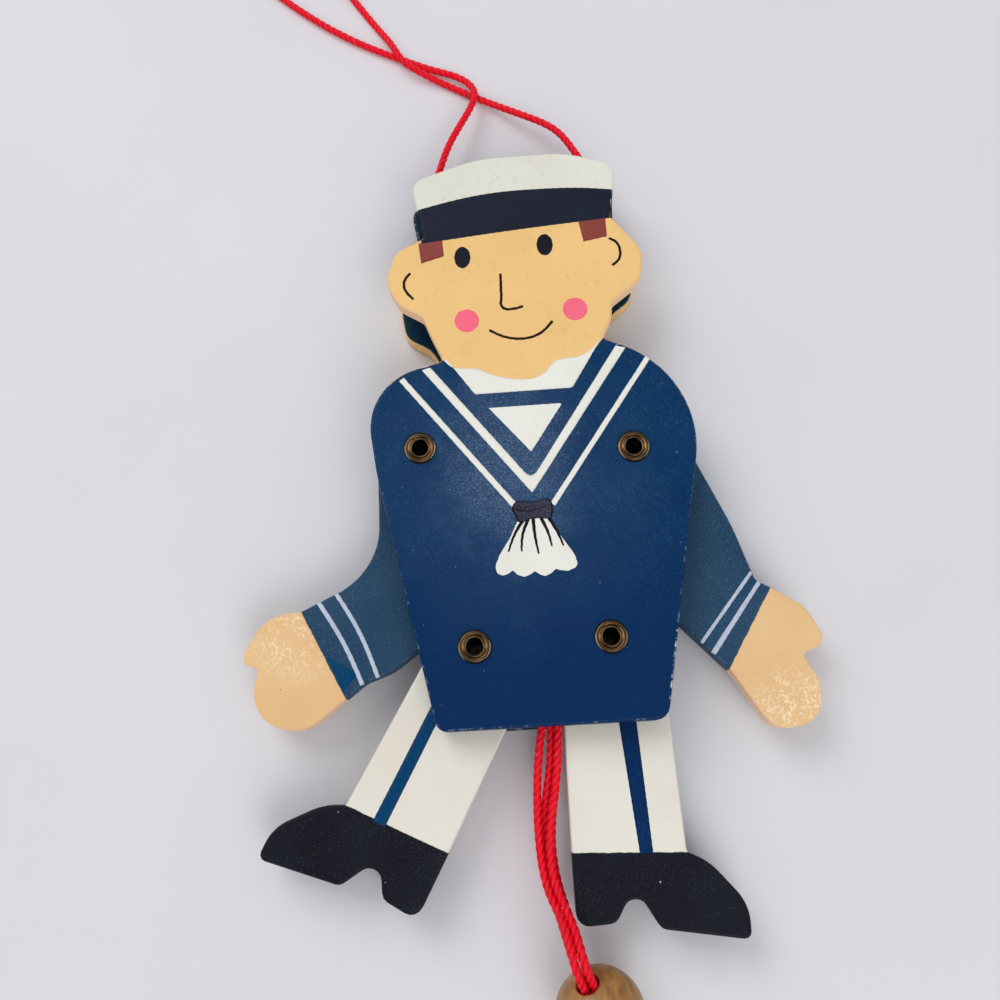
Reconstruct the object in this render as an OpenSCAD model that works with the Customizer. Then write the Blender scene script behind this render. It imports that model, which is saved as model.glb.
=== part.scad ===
// Pull-string jumping jack: a flat wooden sailor lying on its back.
// Origin: on the rear face, midway between the four pivots. +X to the right of the picture,
// +Y towards the head, +Z out of the face. Lengths are in millimetres.

/* [Plates] */
// Thickness of the front and of the rear plate
plate_t = 4.5; // [3:0.1:8]
// Sideways offset of the cut-out figure from the middle of its pivots
plate_x = 1.5; // [0:0.1:2]
// Turn of the rear plate against the front one, as put together by hand, in degrees
rear_turn = 0.8; // [0:0.1:2]

/* [Body] */
// Width of the body over the shoulders
body_w = 70; // [64:0.5:76]
// Height of the body from the hem to the neck
body_h = 84; // [80:0.5:88]
// Height of the hem over the origin, below it
hem_drop = 38.3; // [36:0.1:40]

/* [Head] */
// Width of the head over the ears
head_w = 58; // [54:0.5:62]
// Height of the head from the neck to the cap
head_h = 30; // [28:0.5:33]
// Drop of the cap's lower corners below the top of the ears
cap_drop = 1; // [0.5:0.1:1.5]
// Width of the cap
cap_w = 48; // [45:0.5:50]
// Height of the cap
cap_h = 19; // [17:0.5:22]

/* [Pivots] */
// Distance from the middle line to the shoulder pivots
shoulder_x = 23.2; // [22:0.1:24]
// Mean height of the shoulder pivots over the origin
shoulder_y = 21.15; // [20:0.05:22.5]
// Half of the height difference between the shoulder pivots
shoulder_skew = 1.6; // [0:0.1:2]
// Distance from the middle line to the hip pivots
hip_x = 14.2; // [14:0.1:15]
// Depth of the hip pivots below the origin
hip_y = 21.15; // [20.5:0.05:22]

/* [Layers] */
// Thickness of the limbs
limb_t = 5; // [4:0.1:6]
// Play between the rear plate and the limbs
limb_play = 0.3; // [0.2:0.05:0.6]
// Room for the strings between the limbs and the front plate
string_room = 2.1; // [2:0.1:4]

/* [Arms] */
// Radius of the left shoulder round its pivot
left_shoulder_r = 10.3; // [9.5:0.1:11]
// Radius of the right shoulder round its pivot
right_shoulder_r = 12; // [11:0.1:12.5]
// Distance from a shoulder pivot to the middle of the wrist, downwards
wrist_drop = 41; // [39:0.5:43]
// Distance from a shoulder pivot to the middle of the wrist, outwards
wrist_out = 22; // [20.5:0.5:23.5]
// Width of a hand across its fingers
hand_w = 24; // [22:0.5:25]
// Length of a hand
hand_len = 22; // [20:0.5:24]
// Distance from a shoulder pivot to the string's hole
arm_lever = 8; // [7.5:0.1:8.2]
// Swing of the left arm over the pull's travel, in degrees
left_arm_swing = 105; // [95:1:110]
// Swing of the right arm over the pull's travel, in degrees
right_arm_swing = 110; // [95:1:115]

/* [Legs] */
// Width of a trouser leg at its hip
leg_w = 22; // [20:0.2:22.6]
// Width of a trouser leg at its hem
ankle_w = 23.4; // [22:0.2:25]
// Distance from the right hip pivot down to the ankle
right_leg_len = 43; // [41:0.5:46]
// Distance from the left hip pivot down to the ankle
left_leg_len = 39.7; // [38:0.5:43]
// Sideways offset of the left leg on its pivot, inwards
left_leg_set = 2.3; // [1:0.1:2.6]
// Angle of the left leg at rest, outwards from straight down, in degrees
left_leg_rest = 31.3; // [28:0.1:34]
// Length of a shoe, heel to toe
shoe_len = 34.4; // [32:0.2:36]
// Height of a shoe from the sole to the trouser hem
shoe_h = 17; // [15:0.5:19]
// Distance from a hip pivot to the string's hole
leg_lever = 10.6; // [10:0.1:11]
// Swing of the right leg over the pull's travel, in degrees
right_leg_swing = 74; // [65:1:78]

/* [Eyelets] */
// Bore of an eyelet
eyelet_bore = 3.9; // [3:0.1:4.2]
// Wall of an eyelet's barrel
eyelet_wall = 0.4; // [0.3:0.05:0.5]
// Diameter of an eyelet's front flange
flange_d = 7; // [6.4:0.1:8]
// Height of a flange over the front plate
flange_h = 0.8; // [0.6:0.05:1.2]
// Diameter of an eyelet's clinched rear rim
clinch_d = 6.6; // [6:0.1:7]
// Depth that the rear rim is sunk into the rear plate
clinch_sink = 0.8; // [0.6:0.05:1]
// Radial running clearance between a barrel and a limb
pivot_gap = 0.08; // [0.04:0.01:0.1]
// Radial clearance between a barrel and a plate
barrel_fit = 0.03; // [0.02:0.01:0.05]

/* [Spacer] */
// Width of the block between the heads
spacer_w = 29; // [24:0.5:29]
// Height of the block between the heads
spacer_h = 14; // [10:0.5:14]
// Height of the block's lower edge over the neck
spacer_rise = 18.3; // [18.3:0.1:20]
// Radius of the block's lower corners, round which the cord bends
spacer_corner_r = 4; // [3:0.5:5]

/* [Strings] */
// Diameter of the cord
cord_d = 1.8; // [1.4:0.05:1.8]
// Diameter of the knot on a limb
limb_knot_d = 3.4; // [3:0.1:3.4]
// Play between the right leg and the strings that dip beside it
fork_play = 1.91; // [1.4:0.01:2.2]
// Height over the hem where the strings come together
string_tuck = 2.3; // [1.5:0.1:3]
// Diameter of the string's hole through a limb
string_hole_d = 2; // [1.9:0.1:2.2]
// Diameter of the knot below the bead
bead_knot_d = 5.6; // [5.4:0.1:5.8]
// Diameter of the knot in the hanging loop
loop_knot_d = 5; // [4.4:0.1:5.4]

/* [Bead] */
// Diameter of the bead
bead_d = 18; // [16:0.1:18]
// Diameter of the bead's hole
bead_hole_d = 5; // [4.8:0.1:6]
// Rise of the bead's hole towards the figure, in degrees
bead_rise = 36; // [30:1:40]

/* [Hidden] */

// Colours as painted
navy = "#17365d";
sleeve_blue = "#2d4664";
trouser_white = "#e2e2d6";
brass = "#6f5a35";
cord_red = "#dc0a23";
bare_wood = "#b98d52";

round_fn = 64;
fine_fn = 32;
overrun = 1;

// Levels of the layers
limb_z = plate_t + limb_play;
string_z = limb_z + limb_t;
front_z = string_z + string_room;
face_z = front_z + plate_t;
string_mid_z = string_z + string_room / 2;

// Pivots, left and right of the picture
left_shoulder = [-shoulder_x, shoulder_y + shoulder_skew];
right_shoulder = [shoulder_x, shoulder_y - shoulder_skew];
left_hip = [-hip_x, -hip_y];
right_hip = [hip_x, -hip_y];
pivots = [left_shoulder, right_shoulder, left_hip, right_hip];

// Outlines: [across, up, corner radius], counter-clockwise. The body's are shares of its width,
// its height and its width; the head's and the cap's follow the same rule from the neck and the
// brow.
body_right_shares = [[0.325, -0.005, 0.045], [0.573, 0.917, 0.353], [0.249, 0.996, 0.014]];
body_left_shares = [[-0.261, 0.967, 0.014], [-0.524, 0.919, 0.2], [-0.493, 0.67, 0.86],
  [-0.349, 0.005, 0.036]];
head_right_shares = [[0.347, 0.16, 0.1], [0.353, 0.283, 0.035], [0.474, 0.45, 0.086],
  [0.502, 0.693, 0.12], [0.386, 0.997, 0.014]];
head_left_shares = [[-0.371, 0.93, 0.014], [-0.483, 0.827, 0.086], [-0.529, 0.577, 0.103],
  [-0.478, 0.383, 0.086], [-0.386, 0.267, 0.035], [-0.364, 0.143, 0.1]];
cap_shares = [[0.517, 0.768, 0.075], [0.271, 0.984, 0.52], [-0.156, 0.984, 0.625],
  [-0.488, 0.73, 0.073]];
// The left ear of the rear plate is cut lower and closer
rear_head_left_shares = [[-0.371, 0.93, 0.014], [-0.46, 0.8, 0.086], [-0.474, 0.5, 0.12],
  [-0.462, 0.29, 0.075], [-0.35, 0.155, 0.14]];

// The arms' sleeves are shares of the wrist's place and drop, from the shoulder; their hands are
// shares of the hand's width and length, from the middle of the wrist.
left_sleeve_in_shares = [[-0.445, -0.146, 0.91], [-0.173, -0.756, 0.64], [0.068, -1.02, 0.23],
  [0.41, -1.149, 0.55], [0.682, -1.195, 0.36]];
left_hand_shares = [[0.27, -0.818, 0.375], [0.77, -0.614, 0.333], [0.65, -0.15, 0.033],
  [0.846, -0.1, 0.092], [0.583, 0.355, 0.375], [0.262, 0.373, 0.083]];
left_sleeve_out_shares = [[0.49, -0.615, 0.73]];
right_sleeve_in_shares = [[-0.5, -0.195, 0.91], [0.159, -0.844, 1.14], [0.74, -1.195, 0.455]];
right_hand_shares = [[0.067, -0.955, 0.25], [0.496, -0.91, 0.25], [0.5375, -0.523, 0.333],
  [0.408, -0.255, 0.033], [0.65, -0.164, 0.104], [0.5, 0.2, 0.333], [0.19, 0.427, 0.125]];
right_sleeve_out_shares = [[1.09, -0.732, 0.068], [0.932, -0.427, 2.73]];
// Where the outer side of each shoulder meets its top, and the crown's radius, in shoulder radii
left_crown_share = 0.97;
right_crown_share = 0.72;
crown_r_share = 0.98;

// A leg's hip is in shares of its width round the pivot; the flanks are shares of its width and
// length; the ankle is shares of its own width; the shoe is shares of its length and height, from
// the middle of the ankle.
hip_in_share = [-0.509, 0.432, 0.182];
hip_out_share = [0.464, 0.432, 0.364];
flank_in_share = [-0.495, -0.19, 1.4];
flank_out_share = [0.5, -0.19, 1.4];
ankle_in_share = [-0.5, 0.032, 0.43];
ankle_out_share = [0.496, -0.032, 0.043];
shoe_shares = [[-0.346, -0.8, 0.075], [-0.113, -0.782, 0.064], [-0.035, -0.524, 0.07],
  [0.052, -0.541, 0.07], [0.145, -0.882, 0.058], [0.657, -1.07, 0.041], [0.666, -0.676, 0.26],
  [0.465, -0.176, 0.35]];

// Corners rounded to their radii, with a point about every step
arc_step = 1.1;
function unit(v) = v / norm(v);
function corner(a, p, b) =
  let (
    u = unit([a[0] - p[0], a[1] - p[1]]), v = unit([b[0] - p[0], b[1] - p[1]]),
    opening = acos(max(-1, min(1, u * v))), turn = 180 - opening,
    side = sign(u[0] * v[1] - u[1] * v[0]),
    reach = p[2] * tan(turn / 2),
    start = [p[0], p[1]] + reach * u,
    middle = start + side * p[2] * [-u[1], u[0]],
    from = atan2(start[1] - middle[1], start[0] - middle[0]),
    steps = max(2, ceil(turn / 360 * 2 * PI * p[2] / arc_step))
  )
  [for (i = [0 : steps]) middle + p[2] * [cos(from - side * turn * i / steps),
    sin(from - side * turn * i / steps)]];
function rounded(points) =
  let (n = len(points))
  [for (i = [0 : n - 1]) each corner(points[(i + n - 1) % n], points[i], points[(i + 1) % n])];

function scaled(shares, w, h, at) =
  [for (s = shares) [at[0] + s[0] * w, at[1] + s[1] * h, s[2] * w]];

neck_y = body_h - hem_drop;
brow_y = neck_y + head_h - cap_drop;
spacer_y = neck_y + spacer_rise;
function figure_outline(head_left) = rounded(concat(
  scaled(body_right_shares, body_w, body_h, [plate_x, -hem_drop]),
  scaled(head_right_shares, head_w, head_h, [plate_x, neck_y]),
  scaled(cap_shares, cap_w, cap_h, [plate_x, brow_y]),
  scaled(head_left, head_w, head_h, [plate_x, neck_y]),
  scaled(body_left_shares, body_w, body_h, [plate_x, -hem_drop])
));
front_outline = figure_outline(head_left_shares);
rear_outline = figure_outline(rear_head_left_shares);

// The eyelets' holes through the plates, wider at the rear for the clinched rims
barrel_hole_r = eyelet_bore / 2 + eyelet_wall + barrel_fit;
rim_hole_r = clinch_d / 2 + barrel_fit;
module front_holes() {
  for (p = pivots)
    translate([p[0], p[1], -overrun])
      cylinder(r = barrel_hole_r, h = plate_t + 2 * overrun, $fn = round_fn);
}
module rear_holes() {
  for (p = pivots)
    translate([p[0], p[1], 0])
      rotate_extrude($fn = round_fn)
        polygon([[0, -overrun], [rim_hole_r, -overrun], [rim_hole_r, clinch_sink],
          [barrel_hole_r, clinch_sink], [barrel_hole_r, plate_t + overrun],
          [0, plate_t + overrun]]);
}

module front_plate() color(navy)
  translate([0, 0, front_z])
    difference() {
      linear_extrude(plate_t) polygon(front_outline);
      front_holes();
    }

module back_plate() color(navy)
  difference() {
    rotate(rear_turn) linear_extrude(plate_t) polygon(rear_outline);
    rear_holes();
  }

module head_spacer() color(bare_wood)
  translate([plate_x - spacer_w / 2, spacer_y, plate_t])
    linear_extrude(front_z - plate_t) {
      translate([0, spacer_corner_r]) square([spacer_w, spacer_h - spacer_corner_r]);
      translate([spacer_corner_r, 0]) square([spacer_w - 2 * spacer_corner_r, spacer_h]);
      for (x = [spacer_corner_r, spacer_w - spacer_corner_r])
        translate([x, spacer_corner_r]) circle(spacer_corner_r, $fn = round_fn);
    }

// An arm hangs from its pivot with +X outwards
function arm_outline(shoulder_r, sleeve_in, hand, sleeve_out, crown_share) = rounded(concat(
  [[-shoulder_r, shoulder_r, shoulder_r * crown_r_share]],
  scaled(sleeve_in, wrist_out, wrist_drop, [0, 0]),
  scaled(hand, hand_w, hand_len, [wrist_out, -wrist_drop]),
  scaled(sleeve_out, wrist_out, wrist_drop, [0, 0]),
  [[shoulder_r * crown_share, shoulder_r, shoulder_r * crown_r_share]]
));
left_arm_outline = arm_outline(left_shoulder_r, left_sleeve_in_shares, left_hand_shares,
  left_sleeve_out_shares, left_crown_share);
right_arm_outline = arm_outline(right_shoulder_r, right_sleeve_in_shares, right_hand_shares,
  right_sleeve_out_shares, right_crown_share);

// A leg hangs from its pivot in the same way; set moves it sideways on the pivot
function leg_outline(length, set) = rounded(concat(
  scaled([hip_in_share], leg_w, leg_w, [0, 0]),
  scaled([flank_in_share], leg_w, length, [-set, 0]),
  scaled([ankle_in_share], ankle_w, ankle_w, [-set, -length]),
  scaled(shoe_shares, shoe_len, shoe_h, [-set, -length]),
  scaled([ankle_out_share], ankle_w, ankle_w, [-set, -length]),
  scaled([flank_out_share], leg_w, length, [-set, 0]),
  scaled([hip_out_share], leg_w, leg_w, [0, 0])
));

module string_hole(swing, lever) {
  rotate(-swing / 2)
    translate([-lever, 0, -overrun])
      cylinder(d = string_hole_d, h = limb_t + 2 * overrun, $fn = fine_fn);
}

module pivot_bore() {
  translate([0, 0, -overrun])
    cylinder(d = eyelet_bore + 2 * (eyelet_wall + pivot_gap), h = limb_t + 2 * overrun,
      $fn = round_fn);
}

// Puts a limb on its pivot: side is -1 for the left of the picture, rest its outward angle
module placed(pivot, side, rest) {
  translate([pivot[0], pivot[1], limb_z])
    mirror([side < 0 ? 1 : 0, 0, 0])
      rotate(rest)
        children();
}

module left_arm() color(sleeve_blue)
  placed(left_shoulder, -1, 0)
    difference() {
      linear_extrude(limb_t) polygon(left_arm_outline);
      pivot_bore();
      string_hole(left_arm_swing, arm_lever);
    }

module right_arm() color(sleeve_blue)
  placed(right_shoulder, 1, 0)
    difference() {
      linear_extrude(limb_t) polygon(right_arm_outline);
      pivot_bore();
      string_hole(right_arm_swing, arm_lever);
    }

module leg(length, set) {
  difference() {
    linear_extrude(limb_t) polygon(leg_outline(length, set));
    pivot_bore();
    string_hole(right_leg_swing, leg_lever);
  }
}

module left_leg() color(trouser_white)
  placed(left_hip, -1, left_leg_rest) leg(left_leg_len, left_leg_set);

module right_leg() color(trouser_white)
  placed(right_hip, 1, 0) leg(right_leg_len, 0);

// A tubular eyelet: a domed front flange with a rolled-in lip, a barrel and a clinched rear rim
module eyelet(pivot) color(brass) {
  bore_r = eyelet_bore / 2;
  barrel_r = bore_r + eyelet_wall;
  flange_r = flange_d / 2;
  clinch_r = clinch_d / 2;
  rear_gap = barrel_fit;
  dome = [for (a = [0 : 15 : 180])
    [bore_r + (flange_r - bore_r) * (1 + cos(a)) / 2, face_z + flange_h * sin(a)]];
  curl = [for (a = [180 : 15 : 360])
    [bore_r + (clinch_r - bore_r) * (1 + cos(a)) / 2,
      clinch_sink - rear_gap + (clinch_sink - 2 * rear_gap) * sin(a)]];
  translate([pivot[0], pivot[1], 0])
    rotate_extrude($fn = round_fn) {
      translate([bore_r, clinch_sink - rear_gap])
        square([eyelet_wall, face_z - clinch_sink + rear_gap]);
      polygon(dome);
      polygon(curl);
    }
}
module left_shoulder_eyelet() eyelet(left_shoulder);
module right_shoulder_eyelet() eyelet(right_shoulder);
module left_hip_eyelet() eyelet(left_hip);
module right_hip_eyelet() eyelet(right_hip);

// The string's hole in a limb, at rest
function hole_at(pivot, side, swing, lever, rest) =
  let (a = 180 - swing / 2 + rest)
  [pivot[0] + side * lever * cos(a), pivot[1] + lever * sin(a)];
left_arm_hole = hole_at(left_shoulder, -1, left_arm_swing, arm_lever, 0);
right_arm_hole = hole_at(right_shoulder, 1, right_arm_swing, arm_lever, 0);
left_leg_hole = hole_at(left_hip, -1, right_leg_swing, leg_lever, left_leg_rest);
right_leg_hole = hole_at(right_hip, 1, right_leg_swing, leg_lever, 0);

// Half of a lens-shaped section, for a knot
knot_gap = 0.1;
function lens(r, h) = [for (a = [-90 : 15 : 90]) [r * cos(a), h / 2 * sin(a)]];

// A knot on a limb's string, with the end that goes down through the limb
module limb_knot(hole) color(cord_red)
  translate([hole[0], hole[1], 0]) {
    translate([0, 0, string_mid_z])
      rotate_extrude($fn = round_fn) polygon(lens(limb_knot_d / 2, string_room - 2 * knot_gap));
    translate([0, 0, limb_z])
      cylinder(d = cord_d, h = string_mid_z - limb_z, $fn = fine_fn);
  }
module left_arm_knot() limb_knot(left_arm_hole);
module right_arm_knot() limb_knot(right_arm_hole);
module left_leg_knot() limb_knot(left_leg_hole);
module right_leg_knot() limb_knot(right_leg_hole);

// A cord: rings along a route, each square to it; the end rings can be given a direction
cord_sides = 8;
function along(route, i, first, last) =
  let (n = len(route) - 1)
  i == 0 ? (is_undef(first) ? unit(route[1] - route[0]) : first)
  : i == n ? (is_undef(last) ? unit(route[n] - route[n - 1]) : last)
  : unit(unit(route[i + 1] - route[i]) + unit(route[i] - route[i - 1]));
module cord(route, first = undef, last = undef) color(cord_red) {
  n = len(route);
  points = [for (i = [0 : n - 1])
    let (t = along(route, i, first, last), a = unit(cross([0, 0, 1], t)), b = cross(t, a))
    for (k = [0 : cord_sides - 1])
      let (turn = 360 * (k + 1 / 2) / cord_sides)
      route[i] + cord_d / 2 * (a * cos(turn) + b * sin(turn))];
  walls = [for (i = [0 : n - 2]) for (k = [0 : cord_sides - 1])
    each let (p = i * cord_sides + k, q = i * cord_sides + (k + 1) % cord_sides)
      [[p, p + cord_sides, q + cord_sides], [p, q + cord_sides, q]]];
  near = [for (k = [0 : cord_sides - 1]) k];
  far = [for (k = [cord_sides - 1 : -1 : 0]) (n - 1) * cord_sides + k];
  polyhedron(points = points, faces = concat([near, far], walls), convexity = 10);
}

// Routes between the plates, from where the strings come together: [across, up, depth below the
// middle of the strings' room]
fork = [hip_x + flank_in_share[0] * leg_w - cord_d / 2 - fork_play, string_tuck - hem_drop];
function inside(hole, route) =
  let (path = [for (p = route) [fork[0] + p[0], fork[1] + p[1], string_mid_z - p[2]]],
    knot = [hole[0], hole[1], string_mid_z])
  concat([knot + (limb_knot_d / 2 + knot_gap) * unit(path[0] - knot)], path);
left_arm_route = inside(left_arm_hole,
  [[-16, 56, 0], [-12, 40, 0], [-8.5, 24, 0], [-7.3, 14, 0], [-4.3, 6, 0], [-1.5, 0, 0]]);
right_arm_route = inside(right_arm_hole,
  [[16, 53, 0], [12, 37, 0], [9.1, 23, 0], [7.1, 15, 0], [4.3, 7, 0], [1.5, 0, 0]]);
left_leg_route = inside(left_leg_hole,
  [[-2.7, 12, 0], [-1.5, 8, 0.1], [-0.5, 4, 0.6], [0, 0, 1.3]]);
right_leg_route = inside(right_leg_hole,
  [[3.9, 16, 0], [1.7, 11, 0], [0.3, 7.5, 1.4], [0, 4, 2.9], [0, 0, 3.4]]);
down = [0, -1, 0];
module left_arm_string() cord(left_arm_route, last = down);
module right_arm_string() cord(right_arm_route, last = down);
module left_leg_string() cord(left_leg_route, last = down);
module right_leg_string() cord(right_leg_route, last = down);

// The bead lies on its side, with its hole turned and raised towards the figure
bead_place = [5.2, -93, bead_d / 2];
bead_turn = 19;
bead_axis = [-sin(bead_turn) * cos(bead_rise), cos(bead_turn) * cos(bead_rise), sin(bead_rise)];
bead_across = [cos(bead_turn), sin(bead_turn), 0];
bead_up = cross(bead_across, bead_axis);
bead_mouth = sqrt(pow(bead_d, 2) - pow(bead_hole_d, 2)) / 2;
bead_knot_h = 4;
bead_knot_at = bead_mouth + knot_gap
  + bead_knot_h / 2 * sqrt(1 - pow(bead_hole_d / bead_knot_d, 2));
strand_step_share = 0.53;
function in_bead(depth, across, up) =
  bead_place + depth * bead_axis
  + cord_d * strand_step_share * (across * bead_across + up * bead_up);
module on_bead_axis() {
  translate(bead_place)
    rotate([0, 0, bead_turn])
      rotate([bead_rise - 90, 0, 0])
        children();
}

module pull_bead() color(bare_wood)
  on_bead_axis()
    difference() {
      sphere(d = bead_d, $fn = round_fn);
      translate([0, 0, -bead_d])
        cylinder(d = bead_hole_d, h = 2 * bead_d, $fn = fine_fn);
    }

module bead_knot() color(cord_red)
  on_bead_axis()
    translate([0, 0, -bead_knot_at])
      rotate_extrude($fn = round_fn) polygon(lens(bead_knot_d / 2, bead_knot_h));

// Routes from the hem to the bead, then over its rim, in at the mouth and down to the knot; the
// upper two strings pass over the rim outside the lower two
rim_over = 1.75;
rim_step = 1;
function outside(from, route, across, up) = concat(
  [from[len(from) - 1]], route,
  [in_bead(bead_mouth + rim_over + (up > 0 ? rim_step : 0), across, up),
    in_bead(bead_mouth, across, up), in_bead(bead_knot_h / 2 - bead_knot_at, across, up)]
);
left_pull_route = outside(left_arm_route,
  [[-2.5, -43, 9.9], [-3.5, -51, 8.6], [-4, -60, 8], [-3.7, -70, 9], [-1.7, -77.3, 13.1]], -1, 1);
right_pull_route = outside(right_arm_route,
  [[1.3, -44, 10], [0, -52, 9.3], [-1.6, -60, 9], [-0.9, -69, 9.6], [1.7, -77.4, 13.7]], 1, 1);
middle_pull_route = outside(left_leg_route,
  [[-0.3, -45, 8.2], [-1.9, -53, 7.2], [-3, -60, 6.4], [-2.5, -68, 7], [-0.9, -76.5, 10.9]],
  -1, -1);
lower_pull_route = outside(right_leg_route,
  [[0.4, -45, 6], [-0.2, -53, 5], [-1.2, -61, 4.6], [-0.9, -68, 5.4], [1, -76.1, 10.3]], 1, -1);
module left_pull_string() cord(left_pull_route, first = down);
module right_pull_string() cord(right_pull_route, first = down);
module middle_pull_string() cord(middle_pull_route, first = down);
module lower_pull_string() cord(lower_pull_route, first = down);

// The hanging cord: round under the spacer between the heads, out over the cap to a knotted loop
hanger_z = (plate_t + front_z) / 2;
wrap_share = 0.75;
wrap_r = spacer_corner_r + cord_d * wrap_share;
function over_block(route) = [for (p = route) [p[0], spacer_y + p[1], p[2]]];
cap_left = [-16.9, spacer_y + 27.5, hanger_z];
cap_right = [21.5, spacer_y + 28, hanger_z];
function wrap(x, from) = [for (a = [from, from + 45, from + 90])
  [x + wrap_r * cos(a), spacer_y + spacer_corner_r + wrap_r * sin(a), hanger_z]];
anchor_route = concat(
  [cap_left],
  wrap(plate_x - spacer_w / 2 + spacer_corner_r, 180),
  wrap(plate_x + spacer_w / 2 - spacer_corner_r, 270),
  [cap_right]
);
loop_knot = [-57.5, spacer_y + 113.5, loop_knot_d / 2];
function tied(route) =
  let (end = route[len(route) - 1])
  concat(route, [loop_knot + (loop_knot_d / 2 + knot_gap) * unit(end - loop_knot)]);
left_hanger_route = tied(concat([cap_left], over_block([[-15.4, 32, 7.9], [-12.4, 40.5, 6.6],
  [-6.5, 52.5, 4], [-5.3, 57.4, 3], [-8.5, 62.6, 1.8], [-14.5, 66, 1], [-24, 70.5, 1],
  [-34, 76, 1], [-53.8, 91.6, 1], [-60.5, 101, 1], [-60.5, 108, 1.6]])));
right_hanger_route = tied(concat([cap_right], over_block([[18.6, 33.6, 8], [14, 42.3, 6.4],
  [7.3, 48.2, 4.4], [-5.3, 57.3, 1.1], [-13, 62, 1], [-20, 66, 2.2], [-23, 68.3, 2.9],
  [-25.2, 72.3, 2.9], [-28.8, 79.3, 1.2], [-35.4, 90, 1], [-42, 100, 1], [-49.5, 106.5, 1.4]])));
left_leave = unit(left_hanger_route[1] - cap_left);
right_leave = unit(right_hanger_route[1] - cap_right);
module hanger_anchor_cord() cord(anchor_route, first = -left_leave, last = right_leave);
module left_hanger_cord() cord(left_hanger_route, first = left_leave);
module right_hanger_cord() cord(right_hanger_route, first = right_leave);
module hanger_knot() color(cord_red)
  translate(loop_knot)
    rotate_extrude($fn = round_fn) polygon(lens(loop_knot_d / 2, loop_knot_d));

front_plate();
back_plate();
head_spacer();
left_arm();
right_arm();
left_leg();
right_leg();
left_shoulder_eyelet();
right_shoulder_eyelet();
left_hip_eyelet();
right_hip_eyelet();
left_arm_knot();
right_arm_knot();
left_leg_knot();
right_leg_knot();
left_arm_string();
right_arm_string();
left_leg_string();
right_leg_string();
left_pull_string();
right_pull_string();
middle_pull_string();
lower_pull_string();
pull_bead();
bead_knot();
hanger_anchor_cord();
left_hanger_cord();
right_hanger_cord();
hanger_knot();
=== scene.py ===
"""A pull-string jumping jack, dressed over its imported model.

Lengths in the tables are millimetres in the part's own frame: across, up the figure and out of
its painted face. Colours are as they are seen, 0 to 255. Meshes are made in metres. Left and
right are those of the picture.
"""

import logging
from dataclasses import dataclass, field
from enum import Enum
from typing import Any, Callable, Mapping, Sequence

import bpy
import numpy as np
from mathutils import Matrix, Vector
from mathutils.geometry import delaunay_2d_cdt


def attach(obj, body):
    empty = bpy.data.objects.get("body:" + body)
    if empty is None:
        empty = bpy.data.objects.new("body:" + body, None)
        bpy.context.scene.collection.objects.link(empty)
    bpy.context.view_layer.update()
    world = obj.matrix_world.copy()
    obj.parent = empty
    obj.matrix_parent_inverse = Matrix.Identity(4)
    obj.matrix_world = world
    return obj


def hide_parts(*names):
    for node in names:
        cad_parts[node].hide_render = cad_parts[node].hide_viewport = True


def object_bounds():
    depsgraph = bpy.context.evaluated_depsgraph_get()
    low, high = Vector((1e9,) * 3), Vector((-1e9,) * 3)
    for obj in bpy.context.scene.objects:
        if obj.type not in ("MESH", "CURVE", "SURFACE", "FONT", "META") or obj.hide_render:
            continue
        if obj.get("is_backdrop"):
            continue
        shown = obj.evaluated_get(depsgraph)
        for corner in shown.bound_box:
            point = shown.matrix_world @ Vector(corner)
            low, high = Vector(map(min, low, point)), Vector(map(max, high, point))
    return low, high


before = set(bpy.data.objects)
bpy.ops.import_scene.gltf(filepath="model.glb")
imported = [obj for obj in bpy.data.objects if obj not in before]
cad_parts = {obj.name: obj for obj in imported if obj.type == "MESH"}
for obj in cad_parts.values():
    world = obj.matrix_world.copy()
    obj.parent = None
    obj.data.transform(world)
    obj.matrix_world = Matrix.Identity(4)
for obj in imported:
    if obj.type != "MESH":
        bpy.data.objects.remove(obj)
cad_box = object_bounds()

log = logging.getLogger("jumping_jack")
Material, Thing, Socket = bpy.types.Material, bpy.types.Object, bpy.types.NodeSocket
Array = np.ndarray
Colour = tuple[int, int, int]
Point = tuple[float, ...]
Line = tuple[Point, ...]
MM = 0.001

# How much the paints mirror, the eyelets' centres, and where the limbs' strings are tied.
PAINT_SHEEN = 0.1
PIVOTS: dict[str, Point] = {
    "left_shoulder": (-23.2, 22.75), "right_shoulder": (23.2, 19.55),
    "left_hip": (-14.2, -21.15), "right_hip": (14.2, -21.15),
}
KNOTS: dict[str, Point] = {
    "left_arm": (-18.33, 29.10), "right_arm": (18.61, 26.10),
    "left_leg": (-3.65, -20.10), "right_leg": (5.73, -14.77),
}


class Side(Enum):
    """The sides of the picture."""

    LEFT = "left"
    RIGHT = "right"


class Kind(Enum):
    """The kinds of limb."""

    ARM = "arm"
    LEG = "leg"


@dataclass(frozen=True)
class Levels:
    """Heights of the toy's layers over the table.

    Args:
        rear_top: Inner face of the rear plate.
        limb_bottom: Rear face of the limbs.
        limb_top: Front face of the limbs.
        string: Middle of the room for the strings.
        front_bottom: Rear face of the front plate.
        face: Painted face of the front plate.
        plate_edge: Radius of the plates' sanded edges.
        limb_edge: Radius of the limbs' sanded edges.
    """

    rear_top: float = 4.5
    limb_bottom: float = 4.8
    limb_top: float = 9.8
    string: float = 10.85
    front_bottom: float = 11.9
    face: float = 16.4
    plate_edge: float = 0.7
    limb_edge: float = 0.6


LEVELS = Levels()


# ---- Shader sums and materials ----


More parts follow.
